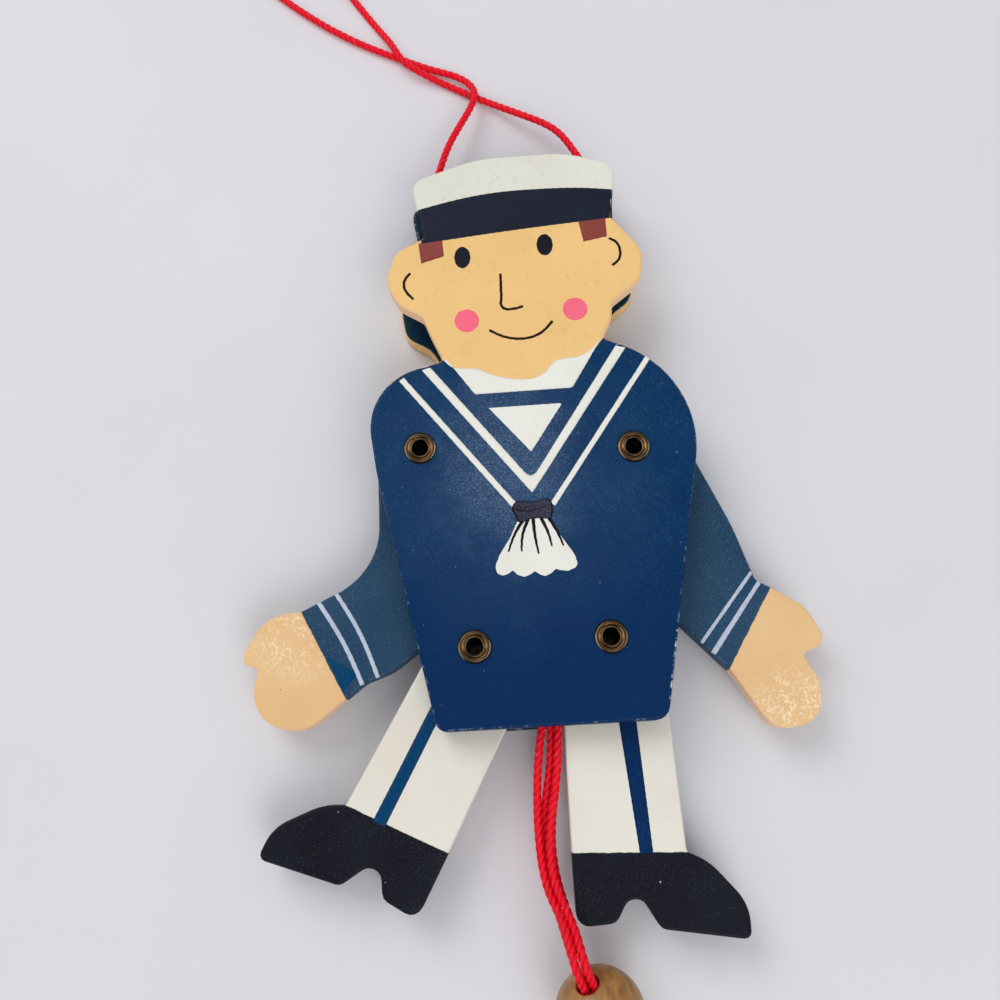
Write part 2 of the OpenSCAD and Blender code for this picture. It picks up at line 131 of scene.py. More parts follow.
def linear(colour: Colour) -> Point:
    """A colour as it is seen, made linear by the sRGB curve, with full alpha.

    Args:
        colour: Red, green and blue, 0 to 255.

    Returns:
        The linear colour.
    """
    seen = np.array(colour) / 255.0
    light = np.where(seen <= 0.04045, seen / 12.92, ((seen + 0.055) / 1.055) ** 2.4)
    return (*map(float, light), 1.0)


def operator(operation: str, swapped: bool = False) -> Callable[["Wire", "Wire | float"], "Wire"]:
    """Makes an operator between a wire and a wire or number.

    Args:
        operation: The Math node's operation.
        swapped: The other term comes first.

    Returns:
        The operator's method.
    """

    def method(self: "Wire", other: "Wire | float") -> "Wire":
        """Adds the node."""
        return self.sum_of(operation, *((other, self) if swapped else (self, other)))

    return method


@dataclass(frozen=True)
class Wire:
    """A node's output that adds Math nodes when it stands in a sum."""

    tree: bpy.types.NodeTree
    socket: Socket

    __add__, __radd__ = operator("ADD"), operator("ADD", True)
    __sub__, __rsub__ = operator("SUBTRACT"), operator("SUBTRACT", True)
    __mul__, __rmul__ = operator("MULTIPLY"), operator("MULTIPLY", True)
    most = operator("MAXIMUM")

    def sum_of(self, operation: str, *terms: "Wire | float", clamp: bool = False) -> "Wire":
        """Adds one Math node.

        Args:
            operation: The Math node's operation.
            terms: Its inputs, wires or numbers.
            clamp: Keeps the result from 0 to 1.

        Returns:
            The node's result.
        """
        node = self.tree.nodes.new("ShaderNodeMath")
        node.operation = operation
        node.use_clamp = clamp
        for place, term in enumerate(terms):
            if isinstance(term, Wire):
                self.tree.links.new(term.socket, node.inputs[place])
            else:
                node.inputs[place].default_value = float(term)
        return Wire(self.tree, node.outputs[0])

    def __abs__(self) -> "Wire":
        """Size without sign."""
        return self.sum_of("ABSOLUTE", self)

    def above(self, edge: "Wire | float", soft: float) -> "Wire":
        """A mask that rises from 0 to 1 across an edge, half of it there, over a width."""
        return self.sum_of("MULTIPLY_ADD", self - edge, 1.0 / soft, 0.5, clamp=True)

    def below(self, edge: "Wire | float", soft: float) -> "Wire":
        """A mask that falls from 1 to 0 across an edge, as above."""
        return self.sum_of("MULTIPLY_ADD", self - edge, -1.0 / soft, 0.5, clamp=True)

    def output(self, name: str) -> "Wire":
        """Another output of the same node."""
        return Wire(self.tree, self.socket.node.outputs[name])


class Recipe:
    """A material in the making, with the piece's own coordinates in millimetres."""

    def __init__(self, name: str) -> None:
        """Starts a material.

        Args:
            name: Its name.
        """
        self.material = bpy.data.materials.new(name)
        self.material.use_nodes = True
        self.tree = self.material.node_tree
        self.shader = self.tree.nodes["Principled BSDF"]
        place = self.node("TexCoord", output="Object")
        self.place = self.node("VectorMath", {"operation": "SCALE"}, {0: place, "Scale": 1 / MM})
        axes = self.node("SeparateXYZ", None, {0: self.place})
        self.x, self.y, self.z = (axes.output(a) for a in "XYZ")

    def feed(self, socket: Socket, value: Any) -> None:
        """Links or sets one input.

        Args:
            socket: The input.
            value: A wire, a number, a colour or a vector.
        """
        if isinstance(value, Wire):
            self.tree.links.new(value.socket, socket)
        else:
            socket.default_value = linear(value) if socket.type == "RGBA" else value

    def node(
        self,
        kind: str,
        settings: Mapping[str, Any] | None = None,
        sockets: Mapping[int | str, Any] | None = None,
        output: int | str = 0,
    ) -> Wire:
        """Adds any node.

        Args:
            kind: The node's type, without its prefix.
            settings: What is set before its sockets.
            sockets: Values or wires of its inputs, by number or name.
            output: Which output is wanted.

        Returns:
            That output.
        """
        node = self.tree.nodes.new(f"ShaderNode{kind}")
        for name, value in (settings or {}).items():
            setattr(node, name, value)
        for name, value in (sockets or {}).items():
            self.feed(node.inputs[name], value)
        return Wire(self.tree, node.outputs[output])

    def layered(self, colour: Wire | Colour, *layers: tuple[Wire, Wire | Colour]) -> Wire:
        """Lays colours over one another.

        Args:
            colour: The lowest.
            layers: Mask and colour of each that lies over those before it.

        Returns:
            The result.
        """
        for mask, tint in layers:
            colour = self.node("Mix", {"data_type": "RGBA"}, {0: mask, 6: colour, 7: tint}, output=2)
        return colour

    def stretched(self, scale: Point, shift: Point = (0.0, 0.0, 0.0)) -> Wire:
        """The coordinates, moved and then multiplied axis by axis."""
        moved = self.node("VectorMath", {"operation": "ADD"}, {0: self.place, 1: shift})
        return self.node("VectorMath", {"operation": "MULTIPLY"}, {0: moved, 1: scale})

    def noise(self, size: float, detail: float = 2.0, shift: float = 0.0, along: Wire | None = None) -> Wire:
        """Cloudy noise, about 0.5 in the middle.

        Args:
            size: Width of its clouds, in millimetres.
            detail: Its finer octaves.
            shift: Moves it, so that two noises differ.
            along: Coordinates to use instead of the piece's own.

        Returns:
            The noise.
        """
        if along is None:
            along = self.stretched((1.0, 1.0, 1.0), (shift, shift, shift))
        return self.node("TexNoise", None, {"Vector": along, "Scale": 1.0 / size, "Detail": detail})

    def dots(self, spacing: float, radius: float, share: float, shift: float = 0.0) -> Wire:
        """Scattered round specks.

        Args:
            spacing: Mean distance between their places.
            radius: Their largest radius.
            share: The share of places that has one.
            shift: Moves them, so that two scatters differ.

        Returns:
            A mask of the specks.
        """
        place = self.stretched((1.0, 1.0, 1.0), (shift, shift, shift))
        cells = self.node("TexVoronoi", None, {"Vector": place, "Scale": 1.0 / spacing})
        lot = self.node("SeparateColor", None, {0: cells.output("Color")})
        size = lot.output("Green") * (radius / spacing)
        return cells.below(size, 0.35 * radius / spacing) * lot.above(1.0 - share, 0.02)

    def normal(self) -> Wire:
        """The surface's direction, as three outputs by axis."""
        return self.node("SeparateXYZ", None, {0: self.node("NewGeometry", output="Normal")})

    def facing(self) -> tuple[Wire, Wire]:
        """The upright part of the surface's direction without sign, and a mask of rounded edges."""
        upright = abs(self.normal().output("Z"))
        return upright, upright.below(0.93, 0.1) * upright.above(0.3, 0.3)

    def finish(
        self,
        colour: Wire,
        roughness: Wire | float,
        height: Wire | None = None,
        **constants: float,
    ) -> Material:
        """Feeds the shader.

        Args:
            colour: Base colour.
            roughness: Roughness.
            height: Relief in millimetres.
            constants: Other inputs that are the same all over, by name with _ for a space.

        Returns:
            The material.
        """
        inputs = {"Base Color": colour, "Roughness": roughness}
        if height is not None:
            inputs["Normal"] = self.node("Bump", None, {"Height": height, "Strength": 1.0, "Distance": MM})
        inputs |= {name.replace("_", " "): value for name, value in constants.items()}
        for name, value in inputs.items():
            self.feed(self.shader.inputs[name], value)
        return self.material


@dataclass(frozen=True)
class Skin:
    """What a coat of paint gives the shader: colour, roughness and relief."""

    colour: Wire
    roughness: Wire
    height: Wire

    def under(self, recipe: Recipe, mask: Wire, top: "Skin") -> "Skin":
        """This skin with another over it, where a mask says.

        Args:
            recipe: The material in the making.
            mask: Where the upper skin covers.
            top: The upper skin.

        Returns:
            Both as one.
        """
        return Skin(
            recipe.layered(self.colour, (mask, top.colour)),
            self.roughness + (top.roughness - self.roughness) * mask,
            self.height + (top.height - self.height) * mask,
        )

    def finish(self, recipe: Recipe, *layers: tuple[Wire, Colour]) -> Material:
        """The finished paint, with layers of colour over its own."""
        colour = recipe.layered(self.colour, *layers)
        return recipe.finish(colour, self.roughness, self.height, Specular_IOR_Level=PAINT_SHEEN)


@dataclass(frozen=True)
class Coat:
    """A coat of paint on wood.

    Args:
        base: Its colour.
        cloud: The colour that it drifts to in wide clouds.
        fleck: The colour of its fine flecks.
        flecks: Share of the surface's fine grains that is flecked.
        speck: The colour of scattered specks of dirt or chips.
        specks: Share of the speck places that has one.
        roughness: Mean roughness.
        ripple: Height of its orange-peel ripples, in millimetres.
    """

    base: Colour
    cloud: Colour
    fleck: Colour
    flecks: float
    speck: Colour
    specks: float
    roughness: float
    ripple: float

    def skin(self, recipe: Recipe, shift: float = 0.0) -> Skin:
        """The coat's nodes.

        Args:
            recipe: The material in the making.
            shift: Moves its noises.

        Returns:
            The skin.
        """
        fine = recipe.noise(0.42, 3.0, shift + 7.0)
        colour = recipe.layered(
            self.base,
            (recipe.noise(16.0, 3.0, shift).above(0.5, 0.34), self.cloud),
            (fine.above(0.74 - self.flecks * recipe.noise(9.0, 2.0, shift + 31.0), 0.12), self.fleck),
            (recipe.dots(2.3, 0.22, self.specks, shift + 3.0), self.speck),
        )
        roughness = recipe.noise(5.0, 3.0, shift + 17.0) * 0.16 + (self.roughness - 0.08)
        ripples = recipe.noise(0.9, 2.0, shift + 11.0) * self.ripple
        return Skin(colour, roughness, ripples + fine * 0.006)


NAVY = Coat((8, 54, 94), (4, 48, 90), (30, 70, 108), 0.26, (150, 160, 180), 0.05, 0.34, 0.016)
SKIN = Coat((247, 205, 137), (242, 200, 132), (234, 190, 120), 0.16, (150, 108, 62), 0.07, 0.42, 0.012)
CREAM = Coat((232, 232, 219), (227, 226, 212), (214, 214, 201), 0.18, (120, 116, 104), 0.1, 0.45, 0.01)
SLEEVE = Coat((43, 75, 102), (33, 66, 94), (62, 90, 118), 0.24, (120, 136, 156), 0.06, 0.5, 0.008)
HAND = Coat((238, 200, 148), (232, 190, 136), (226, 182, 124), 0.16, (140, 100, 60), 0.05, 0.26, 0.05)
TROUSER = Coat((236, 234, 221), (231, 225, 212), (222, 218, 206), 0.12, (128, 122, 108), 0.08, 0.42, 0.01)
BLACK = Coat((20, 20, 29), (26, 29, 39), (42, 47, 58), 0.22, (170, 172, 176), 0.1, 0.4, 0.008)
BAND = Coat((25, 31, 45), (29, 35, 50), (37, 44, 60), 0.2, (90, 92, 98), 0.03, 0.42, 0.008)
HAIR = Coat((149, 74, 67), (140, 67, 60), (158, 84, 76), 0.2, (200, 170, 150), 0.02, 0.45, 0.006)
CHEEK = Coat((254, 113, 139), (252, 107, 134), (250, 118, 150), 0.2, (240, 150, 160), 0.02, 0.45, 0.006)
INK = Coat((36, 20, 14), (30, 17, 14), (60, 38, 28), 0.2, (110, 80, 60), 0.02, 0.5, 0.004)
TIE = Coat((54, 54, 70), (44, 44, 58), (76, 76, 94), 0.26, (120, 120, 140), 0.05, 0.5, 0.008)
REAR = Coat((10, 46, 66), (4, 40, 62), (24, 62, 82), 0.2, (120, 140, 150), 0.04, 0.4, 0.01)
TEAL = Coat((2, 58, 104), (0, 66, 104), (16, 84, 120), 0.2, (120, 160, 170), 0.03, 0.36, 0.006)
SHADE = Coat((24, 23, 34), (20, 20, 30), (40, 40, 54), 0.2, (80, 80, 96), 0.02, 0.5, 0.004)
WHITE = Coat((241, 242, 233), (236, 236, 225), (226, 227, 215), 0.24, (150, 148, 138), 0.04, 0.42, 0.008)
CUFF = Coat((204, 212, 224), (188, 198, 214), (166, 178, 198), 0.24, (120, 130, 150), 0.03, 0.5, 0.006)
SEAM_BLUE = Coat((0, 46, 92), (0, 40, 86), (16, 62, 110), 0.22, (120, 150, 180), 0.03, 0.4, 0.006)


class Paints:
    """Makes the painted materials. Films of the same paint share theirs."""

    def __init__(self) -> None:
        """Starts with none."""
        self.plain: dict[str, Material] = {}

    def lay(
        self, film: "Film", name: str, paint: str, coat: Coat, body: str = "figure", slot: str = "painted_plate"
    ) -> None:
        """Makes a film's piece, printed or brushed in one coat.

        Args:
            film: The film.
            name: The piece's name.
            paint: The material's name.
            coat: The paint.
            body: The body that it rides on.
            slot: Passed on to the piece, which does not use it.
        """
        if paint not in self.plain:
            recipe = Recipe(paint)
            self.plain[paint] = coat.skin(recipe, 40.0).finish(recipe)
        film.shell.piece(name, self.plain[paint], body, slot)

    def front(self) -> Material:
        """The front plate: a navy body, a skin-coloured head and a cream cap, sprayed over each other.

        Returns:
            The material.
        """
        r = Recipe("figure_paint")
        upright, edge = r.facing()
        body, head, cap, band = (c.skin(r, s) for c, s in ((NAVY, 0), (SKIN, 50), (CREAM, 90), (BAND, 130)))
        wavy = r.y + (r.noise(1.6, 2.0, 5.0) * 0.5 - 0.25)
        neck = (-9.5 - r.x).most(0.0) * 0.986 + (r.x - 10.5).most(0.0) * 1.143 + 35.65
        skin = body.under(r, wavy.above(neck, 0.3), head)
        skin = skin.under(r, wavy.above(r.x * 0.06 + 77.9, 0.3), cap)
        on_wall = (1.0 - upright.above(0.8, 0.3)) * r.y.above(r.x * 0.068 + 73.5, 0.3)
        skin = skin.under(r, on_wall * r.y.below(r.x * 0.04 + 81.6, 0.3), band)
        torso = r.y.below(neck, 0.3)
        # Lighter rounded edges on the body: part wear, part painted highlight.
        worn_and_lit_edge = edge * r.noise(1.3, 3.0, 21.0).above(r.y * 0.0004 + 0.6, 0.08) * torso
        chipped = edge * r.noise(0.8, 2.0, 61.0).above(0.56, 0.05) * torso
        chipped = chipped * r.x.above(22.0, 3.0) * r.y.below(-18.0, 3.0) * r.y.above(-34.0, 3.0)
        # Painted sheen: a broad reflection of light over the upper body, flecked with fine painted glints.
        sheen_core, wide = self.gleam(r, (-4.0, 18.0), (20.0, 30.0)), self.gleam(r, (-4.0, 12.0), (34.0, 38.0))
        grains = r.noise(0.36, 2.0, 51.0).above(0.56, 0.14)
        return skin.finish(
            r,
            # Head walls painted lighter and pinker than the face: partly their paint, partly painted light that
            # the walls catch.
            (upright.below(0.7, 0.3) * r.y.above(38.0, 0.5) * r.y.below(72.0, 2.0), (250, 208, 166)),
            (r.noise(1.5, 3.0, 91.0).above(0.65, 0.08) * (1.0 - torso) * 0.13, (168, 150, 116)),
            # Darker, deeper blue towards the hem.
            (r.y.below(-8.0, 40.0) * torso * 0.8, (0, 41, 88)),
            (worn_and_lit_edge * 0.55, (104, 130, 156)),
            (chipped, (206, 210, 210)),
            # Painted sheen over the upper body.
            ((sheen_core * sheen_core * (grains * 0.36 + 0.1) + wide * 0.04) * torso, (126, 148, 176)),
            # Small pale specks painted as glints of light on the glossy body.
            (r.dots(1.5, 0.2, 0.2, 14.0) * torso * r.y.above(-30.0, 30.0) * 0.5, (120, 150, 176)),
        )

    def gleam(self, recipe: Recipe, middle: Point, reach: Point) -> Wire:
        """A soft oval mask of painted sheen: a broad reflection of light painted onto the glossy paint.

        Args:
            recipe: The material in the making.
            middle: Its middle.
            reach: Its half width and half height.

        Returns:
            The mask, falling from the middle to the reach.
        """
        across = (recipe.x - middle[0]) * (1.0 / reach[0])
        up = (recipe.y - middle[1]) * (1.0 / reach[1])
        uneven = recipe.noise(5.0, 3.0, 66.0) * 0.9 - 0.45
        return (across * across + up * up + uneven).below(0.5, 1.0)

    def rear(self) -> Material:
        """The rear plate: navy, with a skin-coloured wall round the head.

        Returns:
            The material.
        """
        r = Recipe("rear_paint")
        upright, edge = r.facing()
        on_wall = upright.below(0.75, 0.2) * r.y.above(39.0, 0.6) * r.y.below(70.0, 1.0)
        # Lighter rounded edges: part wear, part painted highlight.
        worn_and_lit_edge = edge * r.noise(1.1, 3.0, 21.0).above(0.6, 0.08) * (1.0 - on_wall)
        skin = REAR.skin(r, 200.0).under(r, on_wall, SKIN.skin(r, 240.0))
        return skin.finish(r, (worn_and_lit_edge, (110, 130, 155)))


@dataclass(frozen=True)
class LimbPaint:
    """A limb painted in two coats that meet along a straight line.

    Args:
        name: The material's name.
        near: The coat beside the pivot.
        far: The coat of the hand or shoe.
        start: One end of the line.
        end: Its other end, with the far coat to the right of the way there.
        rim: Colour of the near coat's lighter edges: part wear, part painted highlight.
        wall: Colour of the far coat's walls, partly their paint and partly painted light that the walls catch.
        shine: Middle and strength of the painted glints of light on the far coat's glossy ripples.
    """

    name: str
    near: Coat
    far: Coat
    start: Point
    end: Point
    rim: Colour
    wall: Colour
    shine: Point

    def material(self) -> Material:
        """Builds the material: beyond is how far a place lies past the line.

        Returns:
            The material.
        """
        r = Recipe(self.name)
        upright, edge = r.facing()
        way = np.subtract(self.end, self.start)
        across = np.array([way[1], -way[0]]) / np.hypot(*way)
        beyond = r.x * float(across[0]) + r.y * float(across[1]) - float(across @ np.array(self.start))
        beyond = beyond + (r.noise(1.4, 2.0, 9.0) * 0.4 - 0.2)
        skin = self.near.skin(r, 10.0).under(r, beyond.above(0.0, 0.16), self.far.skin(r, 60.0))
        # Lighter rounded edges on the near coat: part wear, part painted highlight.
        worn_and_lit_rim = edge * r.noise(1.2, 3.0, 25.0).above(0.54, 0.1) * beyond.below(-0.6, 0.3)
        # Painted highlights: glints of light on the far coat, round the shine's middle.
        glints = r.noise(0.65, 2.0, 71.0).above(0.54, 0.09) * r.noise(4.0, 2.0, 47.0).above(0.43, 0.2)
        away_x, away_y = r.x - self.shine[0], r.y - self.shine[1]
        glints = glints * (away_x * away_x + away_y * away_y).below(80.0, 100.0) * beyond.above(0.5, 0.5)
        return skin.finish(
            r,
            (worn_and_lit_rim * 0.5, self.rim),
            # Far coat's walls painted lighter: partly their paint, partly painted light that they catch.
            (upright.below(0.8, 0.3) * beyond.above(0.2, 0.2) * 0.7, self.wall),
            (glints * self.shine[2], (255, 230, 194)),
        )


@dataclass(frozen=True)
class Wood:
    """Bare or varnished wood.

    Args:
        name: The material's name.
        early: Colour of the pale growth.
        late: Colour of the dark growth.
        roughness: Mean roughness.
        coat: Weight of the varnish.
        grain: Coordinates' stretch, small along the grain.
    """

    name: str
    early: Colour
    late: Colour
    roughness: float
    coat: float
    grain: Point

    def material(self) -> Material:
        """Builds the material.

        Returns:
            The material.
        """
        r = Recipe(self.name)
        drawn = r.stretched(self.grain)
        rings = r.noise(1.6, 3.0, along=drawn)
        pores = r.noise(0.28, 4.0, along=drawn).above(0.62, 0.12)
        haze = r.noise(5.0, 2.0, 13.0).above(0.55, 0.3)
        colour = r.layered(
            self.early,
            (rings.above(0.5, 0.22), self.late),
            (pores * 0.45, (92, 62, 34)),
            (haze * 0.2, (190, 146, 92)),
        )
        relief = rings * 0.03 - pores * 0.02
        return r.finish(colour, haze * 0.12 + self.roughness, relief, Coat_Weight=self.coat)


@dataclass(frozen=True)
class AntiqueBrass:
    """Brass, lighter where it faces up, with painted glints on its sides and painted shade down its bore."""

    name: str = "eyelet_brass"

    def material(self) -> Material:
        """Builds the material.

        Returns:
            The material.
        """
        r = Recipe(self.name)
        x, y, z = map(r.normal().output, "XYZ")
        # Painted shade down the bore, nearly black.
        down = r.z.below(15.6, 1.2) * r.z.above(1.0, 0.6)
        colour = r.layered(
            (64, 48, 34),
            # Lighter where it faces up.
            (z.above(0.8, 0.4) * 0.6, (112, 92, 62)),
            (r.noise(1.1, 3.0).above(0.5, 0.3) * 0.5, (78, 54, 38)),
            # Painted glints: reflections of light on the dome's left and right slopes.
            (abs(x).above(0.5, 0.16) * y.below(0.15, 0.25) * z.above(0.5, 0.3), (250, 206, 150)),
            (down * 0.95, (18, 12, 8)),
        )
        scratches = r.noise(0.3, 4.0, along=r.stretched((1.0, 4.0, 1.0)))
        return r.finish(colour, scratches * 0.25 + 0.2, scratches * 0.008, Metallic=1.0)


@dataclass(frozen=True)
class RedCord:
    """Shiny red three-ply cord: painted light on its plies and painted shade in the grooves, with fibres along
    them and painted pink glints on them.
    """

    name: str = "red_cord"

    def material(self) -> Material:
        """Builds the material.

        Returns:
            The material.
        """
        r = Recipe(self.name)
        axes = r.node("SeparateXYZ", None, {0: r.node("UVMap", {"uv_map": "lay"})})
        turn, along = axes.output("X"), axes.output("Y")
        lit_crest = abs(r.node("Math", {"operation": "COSINE"}, {0: turn * (3.0 * np.pi)}))
        drawn = r.node("CombineXYZ", None, {0: turn * 26.0, 1: along * 0.55})
        fibres = r.noise(1.0, 3.0, along=drawn)
        colour = r.layered(
            # Painted light and shade: the ply tops lighter, the grooves between them darker.
            (198, 0, 22),
            (lit_crest.above(0.42, 0.5), (252, 0, 38)),
            # Painted highlights: pink glints along the fibres on the ply tops.
            (fibres.above(0.66, 0.1) * lit_crest * 0.6, (255, 116, 136)),
            (fibres.below(0.4, 0.16) * 0.4, (206, 0, 24)),
        )
        return r.finish(colour, fibres * 0.2 + 0.36, fibres * 0.07, Specular_IOR_Level=0.2)


# ---- Surfaces ----


def placed(name: str, data: bpy.types.ID) -> Thing:
    """Puts a new object in the scene.

    Args:
        name: Its name.
        data: Its mesh, camera or lamp.

    Returns:
        The object.
    """
    made = bpy.data.objects.new(name, data)
    bpy.context.scene.collection.objects.link(made)
    return made


class Shell:
    """Lofted surfaces gathered into one mesh."""

    def __init__(self) -> None:
        """Starts empty."""
        self.points: list[Array] = []
        self.faces: list[list[int]] = []
        self.corners: list[Array] = []
        self.smooth: list[bool] = []
        self.count = 0

    def loft(
        self,
        rings: Array,
        along: Array | None = None,
        looped: bool = False,
        capped: bool = True,
        smooth: bool = True,
    ) -> Array:
        """Adds a skin over rings: point j of ring i joins point j + 1 and ring i + 1, in whole arrays.

        A ring runs counter-clockwise about the way that the rings go, so the faces point outwards.

        Args:
            rings: Rings, points and axes, in millimetres.
            along: Each ring's distance, for the map of corners.
            looped: Joins the last ring to the first.
            capped: Closes open ends by their rings.
            smooth: Shades it smooth.

        Returns:
            The points' numbers, rings by points.
        """
        m, n = rings.shape[:2]
        numbers = self.count + np.arange(m * n).reshape(m, n)
        here = numbers if looped else numbers[:-1]
        after = np.roll(numbers, -1, axis=0)[: len(here)]
        quads = np.stack([here, np.roll(here, -1, axis=1), np.roll(after, -1, axis=1), after], axis=-1)
        way = np.arange(m, dtype=float) if along is None else along
        stop = np.append(way, 2 * way[-1] - way[-2])[: len(here) + 1, None]
        turn = np.arange(n + 1)[None] / n
        u0, v0, u1, v1 = np.broadcast_arrays(turn[:, :-1], stop[:-1], turn[:, 1:], stop[1:])
        self.faces += quads.reshape(-1, 4).tolist()
        self.corners.append(np.stack([u0, v0, u1, v0, u1, v1, u0, v1], axis=-1).reshape(-1, 2))
        if capped and not looped:
            self.faces += [numbers[0, ::-1].tolist(), numbers[-1].tolist()]
            self.corners.append(np.zeros((2 * n, 2)))
        self.smooth += [smooth] * (len(self.faces) - len(self.smooth))
        self.points.append(rings.reshape(-1, 3))
        self.count += m * n
        return numbers

    def cap(self, outline: tuple[Array, Array], holes: Sequence[tuple[Array, Array]], upward: bool) -> None:
        """Closes a flat face with holes: the triangles between its lines whose middles lie in the
        outline, by the count of edges crossed, and in no hole.

        Args:
            outline: Its points and their numbers.
            holes: The same of each hole.
            upward: Faces up.
        """
        lines = [outline, *holes]
        flat = np.concatenate([spots[:, :2] for spots, _ in lines])
        numbers = np.concatenate([own for _, own in lines])
        starts = np.cumsum([0] + [len(own) for _, own in lines])
        edges = [(a + k, a + (k + 1) % (b - a)) for a, b in zip(starts[:-1], starts[1:]) for k in range(b - a)]
        _, _, faces, origin, _, _ = delaunay_2d_cdt([Vector(q) for q in flat], edges, [], 0, 1e-6)
        tri = np.array([source[0] for source in origin])[np.array(faces)]
        middle = flat[tri].mean(axis=1)
        kept = encloses(flat[: starts[1]], middle)
        for a, b in zip(starts[1:-1], starts[2:]):
            kept &= ~encloses(flat[a:b], middle)
        chosen = tri[kept] if upward else tri[kept][:, ::-1]
        self.faces += numbers[chosen].tolist()
        self.corners.append(np.zeros((3 * len(chosen), 2)))
        self.smooth += [True] * len(chosen)

    def piece(self, name: str, material: Material, body: str, slot: str, node: str | None = None) -> Thing:
        """Makes the object.

        Args:
            name: The piece's name.
            material: Its material.
            body: The body that it rides on.
            slot: Not used.
            node: The CAD node that it replaces, if any.

        Returns:
            The object, at the origin.
        """
        mesh = bpy.data.meshes.new(name)
        mesh.from_pydata((np.concatenate(self.points) * MM).tolist(), [], self.faces)
        layer = mesh.uv_layers.new(name="lay")
        layer.data.foreach_set("uv", np.concatenate(self.corners).astype(np.float32).ravel())
        mesh.polygons.foreach_set("use_smooth", np.array(self.smooth))
        mesh.materials.append(material)
        mesh.update()
        made = placed(name, mesh)
        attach(made, body)
        if node:
            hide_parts(node)
        log.info("%s: %d faces on %s", name, len(mesh.polygons), body)
        return made


def unit(rows: Array) -> Array:
    """Directions made one long: each row over its own length."""
    return rows / np.linalg.norm(rows, axis=-1, keepdims=True)


def travelled(points: Array) -> Array:
    """Length passed at each point of a line: the running sum of its steps."""
    return np.concatenate([[0.0], np.cumsum(np.linalg.norm(np.diff(points, axis=0), axis=1))])


def resampled(points: Array, count: int) -> Array:
    """A line at even steps of its own length.

    Args:
        points: Its corners.
        count: Points wanted.

    Returns:
        The points.
    """
    way = travelled(points)
    steps = np.linspace(0.0, way[-1], count)
    return np.stack([np.interp(steps, way, own) for own in points.T], axis=1)


def closed(corners: Line, count: int) -> Array:
    """A closed line through corners, at even steps of its own length."""
    return resampled(np.array(corners + corners[:1]), count + 1)[:-1]


def spline(points: Sequence[Point], fine: int = 24, looped: bool = False) -> Array:
    """A smooth line through points: the natural cubic over their chord lengths.

    Args:
        points: Places that it passes.
        fine: Points to each stretch.
        looped: Closes the line.

    Returns:
        Points on the line.
    """
    p = np.asarray(points, float)
    if looped:
        p = np.concatenate([p[-3:], p, p[:4]])
    n = len(p)
    h = np.diff(travelled(p))
    system, right = np.eye(n), np.zeros_like(p)
    k = np.arange(1, n - 1)
    system[k, k - 1], system[k, k], system[k, k + 1] = h[:-1], 2 * (h[:-1] + h[1:]), h[1:]
    right[1:-1] = 6 * np.diff(np.diff(p, axis=0) / h[:, None], axis=0)
    curve = np.linalg.solve(system, right)
    stretch = np.append(np.repeat(np.arange(n - 1), fine), n - 2)
    s = np.append(np.tile(np.arange(fine) / fine, n - 1), 1.0)
    a, b, w = (1 - s)[:, None], s[:, None], h[stretch][:, None]
    line = a * p[stretch] + b * p[stretch + 1]
    line = line + w**2 / 6 * ((a**3 - a) * curve[stretch] + (b**3 - b) * curve[stretch + 1])
    return line[3 * fine : (n - 4) * fine + 1] if looped else line


def encloses(outline: Array, spots: Array) -> Array:
    """Tells which spots a closed line holds: those from which a level ray crosses it oddly often.

    Args:
        outline: The line, across and up.
        spots: The spots.

    Returns:
        Whether it holds each.
    """
    a, b = outline, np.roll(outline, -1, axis=0)
    x, y = spots[:, :1], spots[:, 1:2]
    spans = (a[:, 1] > y) != (b[:, 1] > y)
    rise = np.where(b[:, 1] == a[:, 1], 1.0, b[:, 1] - a[:, 1])
    crossed = spans & (x < a[:, 0] + (y - a[:, 1]) / rise * (b[:, 0] - a[:, 0]))
    return crossed.sum(axis=1) % 2 == 1


